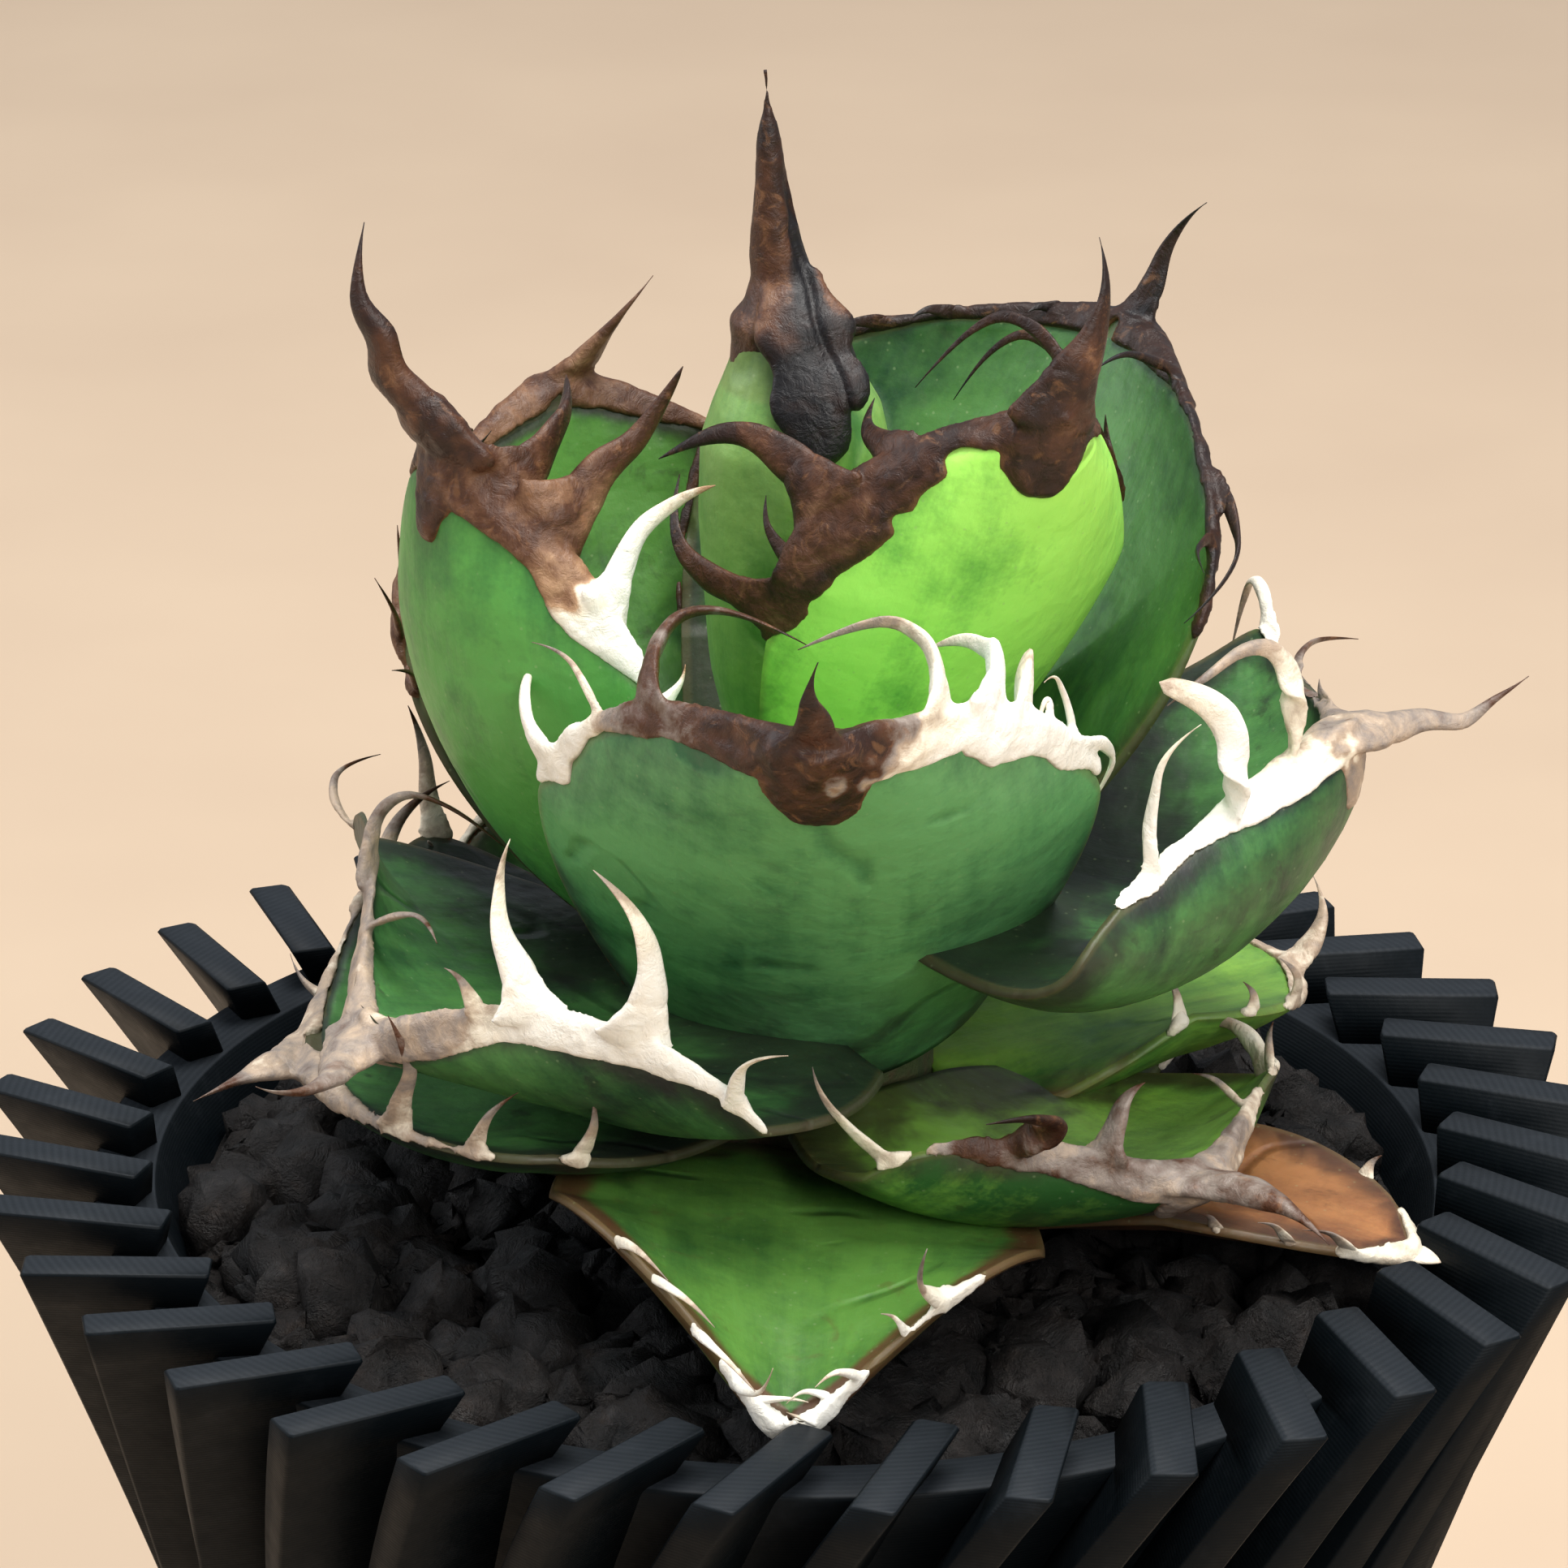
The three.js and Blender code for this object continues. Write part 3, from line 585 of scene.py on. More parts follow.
@dataclass(frozen=True)
class Horn:
    """Dry horn, from bone white over grey to a burnt brown.

    Attributes:
        pale: Colour of white horn.
        cream: Colour of horn that has begun to darken.
        tan: Colour of tan horn.
        grey: Colour of weathered horn.
        brown: Colour of brown horn.
        burnt: Colour of horn that has begun to char.
        dark: Colour of charred horn.
        ridge: Colour of the tan streaks on brown horn, painted highlights of its ridges.
        border: Colour of the line where horn and flesh meet.
    """

    pale: Colour = (0.92, 0.89, 0.81)
    cream: Colour = (0.82, 0.73, 0.58)
    tan: Colour = (0.44, 0.33, 0.24)
    grey: Colour = (0.25, 0.205, 0.175)
    brown: Colour = (0.078, 0.030, 0.014)
    burnt: Colour = (0.026, 0.010, 0.006)
    dark: Colour = (0.007, 0.006, 0.007)
    ridge: Colour = (0.25, 0.115, 0.05)
    border: Colour = (0.17, 0.075, 0.028)

    def material(self, name: str) -> bpy.types.Material:
        """Returns the horn as a material of the given name."""
        recipe = Recipe(name)
        tone, reach = recipe.own("tone"), recipe.own("reach")
        cloud = recipe.cloud(3.2, 5, 0.6, twist=0.5) - 0.5
        fine = recipe.cloud(0.7, 4, 0.6) - 0.5
        spread = recipe.within(tone, 0.12, 0.4) * 0.4 + 0.32
        varied = tone + cloud * spread + fine * 0.16
        colour = recipe.ramp(varied, [(0.0, self.pale), (0.22, self.cream), (0.33, self.tan), (0.45, self.grey),
                                      (0.6, self.brown), (0.76, self.burnt), (1.0, self.dark)])
        # Tan streaks on mid-brown horn: painted highlights.
        ridge = recipe.within(recipe.cloud(1.5, 5, 0.65, twist=1.0), 0.55, 0.75) * 0.6
        ridge = ridge * recipe.within(tone, 0.3, 0.6) * (1 - recipe.within(tone, 0.8, 0.95))
        border = (1 - recipe.within(reach, 0.01, 0.12)) * 0.6
        colour = recipe.layered(colour, [(ridge, self.ridge), (border, self.border)])
        recipe.relief([(recipe.cloud(1.3, 5, 0.65, twist=0.7), 0.2), (recipe.cloud(0.3, 4, 0.6), 0.04)])
        rough = recipe.cloud(0.9, 4, 0.6) * 0.4 + 0.24
        return recipe.finished(colour, rough, Specular_IOR_Level=0.36)


@dataclass(frozen=True)
class PrintedPlastic:
    """Black satin plastic laid down in thin layers, with dust in clouds and a painted sky sheen on its level
    faces.

    Attributes:
        base: Its own colour.
        worn: Colour of the dust, and of the painted sky sheen on level faces.
        layer: Height of a layer.
        ring: Breadth of a line on a level face.
    """

    base: Colour = (0.0018, 0.0034, 0.0048)
    worn: Colour = (0.04, 0.046, 0.055)
    layer: float = 0.24
    ring: float = 0.55

    def material(self, name: str) -> bpy.types.Material:
        """Returns the plastic as a material of the given name."""
        recipe = Recipe(name)
        x, y, z = recipe.parts(recipe.place)
        layers = recipe.waves(z, self.layer)
        rings = recipe.waves(recipe.maths("SQRT", x * x + y * y), self.ring)
        facing = recipe.parts(recipe.tree.nodes.new("ShaderNodeNewGeometry").outputs["Normal"])
        level = recipe.within(facing[2], 0.7, 0.9)
        dust = recipe.within(recipe.cloud(3.5, 6, 0.7), 0.5, 0.85)
        # Level faces are painted lighter as a sky sheen, with the print's rings on them; the clouds are dust.
        share = recipe.maths("ADD", level * (rings * 0.05 + 0.34), dust * 0.16, clamp=True)
        colour = recipe.mixed(share, self.base, self.worn)
        bumps = level * rings + (1 - level) * layers
        recipe.relief([(bumps, 0.004), (recipe.cloud(0.8, 4, 0.6), 0.04)])
        rough = recipe.cloud(2.0, 4, 0.6) * 0.3 + 0.4
        return recipe.finished(colour, rough, Specular_IOR_Level=0.1)


@dataclass(frozen=True)
class Lava:
    """Porous, nearly black lava."""

    dark: Colour = (0.0025, 0.0024, 0.0026)
    brown: Colour = (0.013, 0.010, 0.009)
    light: Colour = (0.035, 0.024, 0.018)

    def material(self, name: str) -> bpy.types.Material:
        """Returns the lava as a material of the given name."""
        recipe = Recipe(name)
        stops = [(0.35, self.dark), (0.6, self.brown), (0.8, self.light)]
        colour = recipe.ramp(recipe.cloud(3.2, 6, 0.7), stops)
        recipe.relief([(recipe.cloud(2.2, 6, 0.72, twist=0.8), 1.1), (recipe.cloud(0.35, 3, 0.6), 0.12)])
        rough = recipe.cloud(1.2, 4, 0.6) * 0.6 + 0.3
        return recipe.finished(colour, rough, Specular_IOR_Level=0.3)


@dataclass(frozen=True)
class Cork:
    """The dry, brown-green skin of the stem."""

    green: Colour = (0.06, 0.085, 0.025)
    dry: Colour = (0.11, 0.07, 0.035)

    def material(self, name: str) -> bpy.types.Material:
        """Returns the stem's skin as a material of the given name."""
        recipe = Recipe(name)
        colour = recipe.mixed(recipe.within(recipe.cloud(3, 5, 0.6), 0.4, 0.65), self.green, self.dry)
        recipe.relief([(recipe.cloud(1.5, 5, 0.7), 0.4)])
        return recipe.finished(colour, recipe.cloud(1.0) * 0.3 + 0.6)


# Leaves

# Shares of a leaf's length and width, and sizes in millimetres, as in the part's source.
WIDEST = 0.56
ROOT_SHARE = 0.62
TIP_SHARE = 0.1
EDGE_THICKNESS = 0.6
MIDRIB_STEPS = 24
CAP_LENGTH = 0.08
UNDER_HORN = 0.32
LEAST_GIRTH = 0.03
TOOTH_TAPER = 0.75
SPINE_FOOT = 0.6
SPINE_PLACE = 0.975

Tooth = tuple[float, ...]
Track = Sequence[tuple[float, float]]
THIN_BANDS = ((-0.5, 0.0), (-0.35, 0.5), (-0.1, 0.9), (0.0, 1.2), (0.1, 0.9), (0.35, 0.5), (0.5, 0.0))
PALE_TONES = ((-1.0, 0.1), (0.0, 0.3), (1.0, 0.1))


class Side(Enum):
    """A margin of a leaf, as seen from its root."""

    LEFT = -1
    RIGHT = 1


def direction(u: Array, m: Array, n: Array, lean: float, rise: float) -> Array:
    """Returns a direction that starts along u, leans towards m and rises towards n."""
    flat = u * math.cos(math.radians(lean)) + m * math.sin(math.radians(lean))
    return flat * math.cos(math.radians(rise)) + n * math.sin(math.radians(rise))


@dataclass
class Spike:
    """A tooth or spine: a flattened horn along a bent line.

    Attributes:
        line: The three points that steer its curve.
        across: The direction of its broad side.
        bed: The direction of the margin that its root runs out along.
        wide: Half its width near the root.
        thick: Half its thickness there.
        taper: How fast it narrows, 1 for a straight cone.
        foot: How much broader its very root is.
        flare: The length in which that falls off.
        tone: How dark it is at the root and at the tip.
        seed: Picks its sway.
        hook: How far its tip bends on, as a share of its length.
        twist: How far it turns about its own line, in radians.
        sunk: How far its root goes on into the leaf, as a share of its length.
    """

    line: Array
    across: Array
    bed: Array
    wide: float
    thick: float
    taper: float
    foot: float
    flare: float
    tone: tuple[float, float]
    seed: int
    hook: float = 0.14
    twist: float = 0.5
    sunk: float = 0.0

    def shell(self, rooted: bool = False, steps: int = 28, sides: int = 14) -> Shell:
        """Makes the spike, or only the broad root of it that melts in the band.

        Args:
            rooted: Whether it is only the root.
            steps: How many rings it has.
            sides: How many corners each ring has.

        Returns:
            The shell, with its tone and reach.
        """
        q = np.linspace(-self.sunk, 0.5, steps) if rooted else np.linspace(0.6 * self.sunk, 1.0, steps)
        a, b, c = self.line
        centre = ((1 - q) ** 2)[:, None] * a + (2 * q * (1 - q))[:, None] * b + (q**2)[:, None] * c
        length = np.linalg.norm(b - a) + np.linalg.norm(c - b)
        along = unit(2 * (1 - q)[:, None] * (b - a) + 2 * q[:, None] * (c - b))
        flat = unit(self.across - along * (along @ self.across)[:, None])
        grown = np.maximum(q, 0)
        spin = (self.twist * grown**1.5)[:, None]
        flat, up = (flat * np.cos(spin) + np.cross(along, flat) * np.sin(spin),
                    np.cross(along, flat) * np.cos(spin) - flat * np.sin(spin))
        bend = unit(a - 2 * b + c + 1e-6)
        centre = centre + bend * (self.hook * length * np.clip((q - 0.6) / 0.4, 0, 1) ** 2)[:, None]
        sway = ripple(q * length, 3.2, self.seed) * self.wide * 0.28 * np.sin(np.pi * q)
        centre = centre + flat * sway[:, None]
        body = np.maximum(1 - q, 0) ** self.taper * (1 + 0.14 * ripple(q * length, 2.1, self.seed + 5))
        foot = self.foot * np.exp(-grown * length / self.flare)
        girth = 1.05 - 0.5 * smoothstep(0.22, 0.5, q) if rooted else 0.62 + 0.38 * smoothstep(0.08, 0.34, q)
        if self.sunk:
            girth = girth * smoothstep(-1.3 * self.sunk, 0.0, q)
        else:
            girth = girth * np.sqrt(np.clip(0.2 + q * length, 0, 1))
        stout = body * lerp(0.6, 1, smoothstep(0, 3, q * length)) + 0.1 * foot
        wide = np.maximum(self.wide * body, LEAST_GIRTH) * girth
        thick = np.maximum(self.thick * stout, LEAST_GIRTH) * girth
        broad = flat * wide[:, None] + self.bed * (self.wide * foot * girth)[:, None]
        turn = np.linspace(0, 2 * np.pi, sides, endpoint=False)
        ridge = 1 + 0.11 * np.cos(3 * turn + self.seed)
        ring = (np.cos(turn) * ridge)[None, :, None] * broad[:, None]
        ring = ring + (np.sin(turn) * ridge)[None, :, None] * (up * thick[:, None])[:, None]
        tone = lerp(self.tone[0], self.tone[1], smoothstep(0.4, 1.0, q))
        return lofted(centre[:, None] + ring, {"tone": tone[:, None], "reach": 1 + q[:, None]})


@dataclass
class Leaf:
    """One thick, cupped leaf with its horn.

    Attributes:
        name: Its number in the part.
        az: Where it points.
        root: Distance of its root from the axis, and its height over the rim.
        rise: Slope of the midrib at root and tip, and how it passes between them.
        length: Length of the midrib.
        half: Half its width, measured round the curve.
        cup: Half-angle of its section at root, widest place and tip.
        thick: Its thickness.
        roll: Turn about the midrib.
        yaw: Sideways bend.
        cap: Where on the midrib the horn takes over.
        spine: Half-width, length, lean, rise, bend of the lean, bend of the rise, and how much broader its root
            is, where it isn't SPINE_FOOT.
        left: Teeth as place, half-width, length, lean to the tip, rise inward, the bend of both, and the taper
            where it isn't TOOTH_TAPER, or a count.
        right: The same for the right margin.
        flesh: Its skin.
        tones: Places along the margin from -1, the left root, over 0, the tip, to 1, with how dark the horn is.
        bands: Places along the margin, as for tones, with the width of the horn there.
        tongue: Length and half-width of the tongue of horn on the outer face.
        grain: Size of the horn's faces.
        dead: Whether it has dried.
        midrib: The points of its midrib, worked out.
        number: Its number, which picks its random draws.
    """

    name: str
    az: float
    root: tuple[float, float]
    rise: tuple[float, float, float]
    length: float
    half: float
    cup: tuple[float, float, float]
    thick: float
    roll: float
    yaw: float
    cap: float
    spine: tuple[float, ...]
    left: list[Tooth] | int
    right: list[Tooth] | int
    flesh: Flesh = Flesh()
    tones: Track = PALE_TONES
    bands: Track = THIN_BANDS
    tongue: tuple[float, float] = (2.5, 2.6)
    grain: float = 0.26
    dead: bool = False
    midrib: Array = field(init=False)
    number: int = field(init=False)

    def __post_init__(self) -> None:
        """Lays the midrib and works out teeth that are given as a count."""
        self.number = int(self.name)
        az = math.radians(self.az)
        reach, height = self.root
        points = [np.array([math.cos(az) * reach, math.sin(az) * reach, height])]
        step = self.length / MIDRIB_STEPS
        for i in range(MIDRIB_STEPS):
            out, _, slope = (value[0] for value in self.heading(np.array([(i + 0.5) / MIDRIB_STEPS])))
            points.append(points[i] + (out * math.cos(slope) + np.array([0, 0, math.sin(slope)])) * step)
        self.midrib = np.array(points)
        for margin, teeth in ((Side.LEFT, self.left), (Side.RIGHT, self.right)):
            if isinstance(teeth, int):
                setattr(self, margin.name.lower(), self.ruled_teeth(margin, teeth))

    def heading(self, t: Array) -> tuple[Array, Array, Array]:
        """Returns the outward and sideways directions and the slope at places along the midrib."""
        az = np.radians(self.az + self.yaw * t * t)
        low, high, bow = self.rise
        slope = np.radians(lerp(low, high, np.power(np.maximum(t, 0), bow)))
        cos, sin, none = np.cos(az), np.sin(az), np.zeros_like(az)
        return np.stack([cos, sin, none], -1), np.stack([-sin, cos, none], -1), slope

    def ruled_teeth(self, margin: Side, count: int) -> list[Tooth]:
        """Works out teeth for a margin that has only a count.

        Args:
            margin: Which margin.
            count: How many teeth.

        Returns:
            The teeth.
        """
        state = self.number * 977 + margin.value

        def random() -> float:
            """Returns the next number of the seeded row."""
            nonlocal state
            state = (state * 16807) % 2147483647
            return state / 2147483647

        teeth = []
        for i in range(count):
            t = lerp(0.46, 0.93, (i + 0.3 + 0.5 * random()) / count)
            length = self.half / 21 * (4 + 7 * random() * math.sin(math.pi * lerp(0.25, 0.8, i / count)))
            bend = [-10 + 50 * random(), 10 + 25 * random(), 90 * (random() - 0.6), 30 * random()]
            teeth.append((t, 0.5 + 0.05 * length, length, *bend))
        return teeth

    def width_share(self, t: Array) -> Array:
        """Returns the width at places along the midrib as a share of the full width."""
        low = lerp(ROOT_SHARE, 1, np.sin(np.pi / 2 * np.clip(t / WIDEST, 0, 1)))
        q = np.clip((t - WIDEST) / (1 - WIDEST), 0, 1)
        return np.where(t < WIDEST, low, lerp(TIP_SHARE, 1, np.power(1 - q * q, 0.85)))

    def half_at(self, t: Array) -> Array:
        """Returns half the width at places along the midrib."""
        return self.half * self.width_share(np.clip(t, 0, 1))

    def depth_at(self, t: Array, s: Array) -> Array:
        """Returns the blade's thickness at places on the leaf."""
        thick = self.thick * lerp(1.25, 0.55, np.clip(t, 0, 1))
        return lerp(EDGE_THICKNESS, np.maximum(EDGE_THICKNESS, thick), 1 - np.abs(np.clip(s, -1, 1)) ** 2.4)

    def surface(self, t: Array, s: Array, depth: Array) -> tuple[Array, Array, Array, Array]:
        """Finds places on the leaf.

        Args:
            t: Places along the midrib, 0 at the root and 1 at the tip.
            s: Places round the section, from -1 to 1.
            depth: Distances from the outer face.

        Returns:
            The points, and the directions to the inner face, to the margin and to the tip there.
        """
        t, s, depth = (np.asarray(value, float).ravel() for value in np.broadcast_arrays(t, s, depth))
        near = np.clip(t, 0, 1)
        at = near * MIDRIB_STEPS
        i = np.minimum(MIDRIB_STEPS - 1, at.astype(int))
        point = lerp(self.midrib[i], self.midrib[i + 1], (at - i)[:, None])
        out, side, slope = self.heading(near)
        rising = np.array([0, 0, 1.0])
        along = out * np.cos(slope)[:, None] + rising * np.sin(slope)[:, None]
        inward = rising * np.cos(slope)[:, None] - out * np.sin(slope)[:, None]
        point = point + along * ((t - near) * self.length)[:, None]
        roll = math.radians(self.roll)
        across = side * math.cos(roll) + inward * math.sin(roll)
        up = inward * math.cos(roll) - side * math.sin(roll)
        at_root, at_widest, at_tip = self.cup
        high = lerp(at_widest, at_tip, np.clip((near - WIDEST) / (1 - WIDEST), 0, 1))
        cup = np.radians(np.where(near < WIDEST, lerp(at_root, at_widest, np.minimum(1, near / WIDEST)), high))
        turn = s * cup
        radius = self.half_at(near) / cup
        normal = up * np.cos(turn)[:, None] - across * np.sin(turn)[:, None]
        outward = across * np.cos(turn)[:, None] + up * np.sin(turn)[:, None]
        point = point + across * (radius * np.sin(turn))[:, None] + up * (radius * (1 - np.cos(turn)))[:, None]
        return point + normal * depth[:, None], normal, outward, along

    def band_at(self, place: Array) -> Array:
        """Returns the width of the horn at places along the margin."""
        places, widths = zip(*self.bands)
        return np.interp(place, places, widths)

    def horn_start(self, t: Array, sign: Array | int) -> Array:
        """Returns how far from the midrib the horn starts on one side, as a share of the half-width."""
        band = self.band_at((1 - t) * np.sign(sign))
        q = np.clip((t - self.cap + CAP_LENGTH) / CAP_LENGTH, 0, 1)
        return (1 - band / self.half_at(t)) * np.sqrt(1 - q * q)

    def tone_at(self, place: Array) -> Array:
        """Returns how dark the horn is at places along the margin."""
        places, tones = zip(*self.tones)
        return np.interp(place, places, tones)

    def blade(self, steps: int = 72, sides: int = 36) -> Shell:
        """Makes the fleshy blade.

        Args:
            steps: Rings along the leaf.
            sides: Corners across each face.

        Returns:
            The shell, with the attributes that the skin reads.
        """
        t = 0.99 * np.linspace(0, 1, steps) ** 0.9
        s = np.sin(np.linspace(-np.pi / 2, np.pi / 2, sides))
        round_s = np.concatenate([s, s[::-1]])
        face = np.concatenate([np.zeros(sides), np.ones(sides)])
        grid_t, grid_s = np.meshgrid(t, round_s, indexing="ij")
        grid_face = np.broadcast_to(face, grid_t.shape)
        depth = grid_face * self.depth_at(grid_t, grid_s)
        point, normal, _, _ = self.surface(grid_t, grid_s * 0.985, depth)
        swell = 0.3 * noise(point, 11, self.number) + 0.1 * noise(point, 4, self.number + 40)
        half = self.half_at(grid_t)
        swell = swell - 0.25 * (np.exp(-((grid_s * half / 2.2) ** 2)) * grid_face).ravel()
        rim = (self.horn_start(grid_t, grid_s) - np.abs(grid_s)) * half
        band = self.band_at((1 - grid_t) * np.sign(grid_s)) + (grid_t > self.cap - CAP_LENGTH)
        covered = smoothstep(0.0, 0.5, band) * (1 - smoothstep(-0.4, 0.5, rim))
        swell = 0.7 * swell * smoothstep(0.0, 2.5, rim.ravel()) - UNDER_HORN * covered.ravel()
        point = point + normal * (swell * np.where(grid_face.ravel() > 0, 1, -1))[:, None]
        values = {
            "run": grid_t * self.length,
            "side": grid_s * half,
            "rim": np.maximum(rim, 0),
            "low": 1 - smoothstep(0.05, 0.6, grid_t),
            "inner": grid_face,
        }
        return lofted(point.reshape(steps, 2 * sides, 3), values)

    def band_shell(self, margin: Side) -> Shell:
        """Makes the horny band along one margin.

        Args:
            margin: Which margin.

        Returns:
            The shell.
        """
        sign, seed = margin.value, self.number * 10 + margin.value
        t = np.linspace(0.2, 1, 200)
        half = self.half_at(t)
        run = t * self.length
        start = self.horn_start(t, sign)
        wave = 0.38 * ripple(run, 2.4, seed) + 0.26 * ripple(run, 1.0, seed + 3)
        teeth = self.left if margin is Side.LEFT else self.right
        none = np.zeros_like(t)
        swell = none
        for place, wide, *_ in teeth:
            away = (t - place) * self.length / (0.5 + 1.25 * wide)
            swell = swell + 0.75 * wide**1.5 * np.exp(-(away**2))
        width = np.maximum((1 - start) * half, 0.0)
        outer_width = np.minimum(np.maximum(width * (1 + wave) + 0.8 * swell, 0.1), half)
        inner_width = np.minimum(np.maximum(width * (1 - wave) + 0.5 * swell, 0.1), half)
        there = smoothstep(0.0, 0.3, outer_width - 0.1)
        proud = lerp(-0.35, 0.2 * (1 + 0.5 * ripple(run, 1.7, seed + 9)) + 0.08 * swell, there)
        frill = lerp(-0.3, 0.12 + 0.26 * (1 + ripple(run, 1.3, seed + 7)) + 0.1 * swell, there)
        s_outer, s_inner, s_rim = 1 - outer_width / half, 1 - inner_width / half, 1 + frill / half
        s_mid, s_mid_in = 1 - 0.45 * outer_width / half, 1 - 0.45 * inner_width / half
        edge, body = EDGE_THICKNESS, self.depth_at
        rows = [
            (s_outer, none + 0.4, 0.0),
            (s_outer, 0.1 - 0.2 * there, 0.0),
            (lerp(s_outer, s_mid, 0.35), -proud, 0.25),
            (s_mid, -proud * 1.1, 0.6),
            (none + 1, -proud * 0.7, 0.9),
            (s_rim, none + edge * 0.25, 1.0),
            (s_rim, none + edge * 0.75, 1.0),
            (none + 1, edge + proud * 0.7, 0.9),
            (s_mid_in, body(t, s_mid_in) + proud * 1.1, 0.6),
            (lerp(s_inner, s_mid_in, 0.35), body(t, s_inner) + proud, 0.25),
            (s_inner, body(t, s_inner) - 0.1 + 0.2 * there, 0.0),
            (s_inner, body(t, s_inner) - 0.4, 0.0),
        ]
        places, depths, reaches = zip(*rows)
        shown = smoothstep(0.1, 0.6, there)[:, None]
        hidden = 1 - 1.4 / half[:, None]
        s = lerp(hidden, np.stack(places, -1), shown)
        depth = lerp(0.45 * body(t[:, None], hidden), np.stack(depths, -1), shown)
        point = self.surface(t[:, None], s * sign, depth)[0].reshape(len(t), len(rows), 3)
        reach = np.broadcast_to(np.array(reaches), s.shape)
        tone = self.tone_at((1 - t) * sign)[:, None]
        return lofted(point, {"tone": tone, "reach": reach})

    def tongue_shell(self) -> Shell:
        """Returns the tongue of horn that runs from the tip down the outer face."""
        length, wide = self.tongue
        q = np.linspace(0, 1, 40)
        t = 1.0 - q * (1 - self.cap + CAP_LENGTH * 0.6 + length / self.length)
        seed = self.number * 7
        reach = np.sqrt(np.maximum(1 - q**1.6, 0)) * (1 + 0.12 * ripple(q * 9, 1.0, seed))
        half = np.minimum(wide * reach, self.half_at(t)) / self.half_at(t)
        lean = 0.15 * ripple(q * 6, 1.7, seed + 2) * q * wide / self.half_at(t)
        rows = [(-1, 0.5, 0.0), (-1, -0.06, 0.0), (-0.6, -0.34, 0.6), (0, -0.42, 0.9), (0.6, -0.34, 0.6),
                (1, -0.06, 0.0), (1, 0.5, 0.0)]
        s = np.stack([half * place + lean for place, _, _ in rows], -1)
        fade = smoothstep(0, 0.12, 1 - q)
        depth = np.stack([np.where(level < 0, level * fade, level) for _, level, _ in rows], -1)
        point = self.surface(t[:, None], s, depth)[0].reshape(len(t), len(rows), 3)
        along = np.array([row[2] for row in rows])[None, :] * fade[:, None]
        return lofted(point, {"tone": np.full((1, 1), self.tone_at(0.0)), "reach": along})

    def spikes(self) -> list[Spike]:
        """Returns the teeth of both margins and the spine."""
        found = []
        for margin, teeth in ((Side.LEFT, self.left), (Side.RIGHT, self.right)):
            for k, (t, wide, *bend) in enumerate(teeth):
                taper = bend.pop() if len(bend) > 5 else TOOTH_TAPER
                place = self.surface(t, margin.value, EDGE_THICKNESS / 2)
                point, normal, outward, along = (value[0] for value in place)
                outward = outward * margin.value
                tone = float(self.tone_at((1 - t) * margin.value))
                line = self.bent(point - outward * 0.9, outward, along, normal, bend)
                ahead = self.surface(np.array([t - 0.01, t + 0.01]), margin.value, EDGE_THICKNESS / 2)[0]
                tip = tone + (0.3 if tone < 0.4 else 0.16)
                seed = self.number * 31 + k * 7 + margin.value
                found.append(Spike(line, along, unit(ahead[1] - ahead[0]), wide * 0.85, max(0.34, 0.44 * wide),
                                   taper, 1.5, 0.35 + 0.09 * bend[0], (tone, tip), seed))
        wide, *bend = self.spine
        foot = bend.pop() if len(bend) > 5 else SPINE_FOOT
        point, normal, outward, along = (value[0] for value in self.surface(SPINE_PLACE, 0.0, 0.0))
        thick = self.thick * lerp(1.25, 0.55, SPINE_PLACE)
        line = self.bent(point + normal * thick * 0.4, along, outward, normal, bend)
        tone = float(self.tone_at(0.0))
        found.append(Spike(line, outward, outward, wide * 0.82, wide * 0.5, 1.15, foot, 1.0 + 0.6 * wide,
                           (tone, tone + 0.16), self.number * 31 + 99, 0.12, 1.3, 0.16))
        return found

    def bent(self, start: Array, u: Array, m: Array, n: Array, bend: list[float]) -> Array:
        """Lays the three points that steer a spike.

        Args:
            start: Its root.
            u: The direction out of the root.
            m: The direction that it leans to.
            n: The direction that it rises to.
            bend: Length, lean, rise, bend of the lean and bend of the rise.

        Returns:
            The points.
        """
        length, lean, rise, bend_lean, bend_rise = bend
        middle = start + direction(u, m, n, lean, rise) * length / 2
        final = direction(u, m, n, lean + bend_lean, rise + bend_rise)
        return np.array([start, middle, middle + final * length / 2])

    def horn(self) -> Shell:
        """Returns the whole horn: bands, tongue and spike roots in one skin, with the spikes standing in it."""
        spikes = self.spikes()
        melting = [self.band_shell(Side.LEFT), self.band_shell(Side.RIGHT), self.tongue_shell()]
        melting += [spike.shell(True, 16) for spike in spikes]
        skin = grown_together(melting, self.grain, 3)
        skin = roughened(skin, [(0.12, 1.5), (0.06, 0.6)], self.number * 3)
        return joined([skin, *[spike.shell() for spike in spikes]])

    def build(self, horns: dict[str, bpy.types.Material]) -> None:
        """Makes both pieces of the leaf, in its skin and one of the horns."""
        slot_of_horn = "brown_horn" if self.name in BROWN_HORNED else "white_horn"
        for key, shell, material, slot, node in (
            ("flesh", self.blade(), self.flesh.material(f"leaf_{self.name}_skin"),
             "dry_leaf" if self.dead else "leaf_flesh", "blade"),
            ("horns", self.horn(), horns[slot_of_horn], slot_of_horn, "horn"),
        ):
            shell.points = shell.points + ROSETTE
            name = f"leaf_{self.name}_{key}"
            placed(name, as_mesh(name, shell), material, [f"leaf_{self.name}_{node}"])


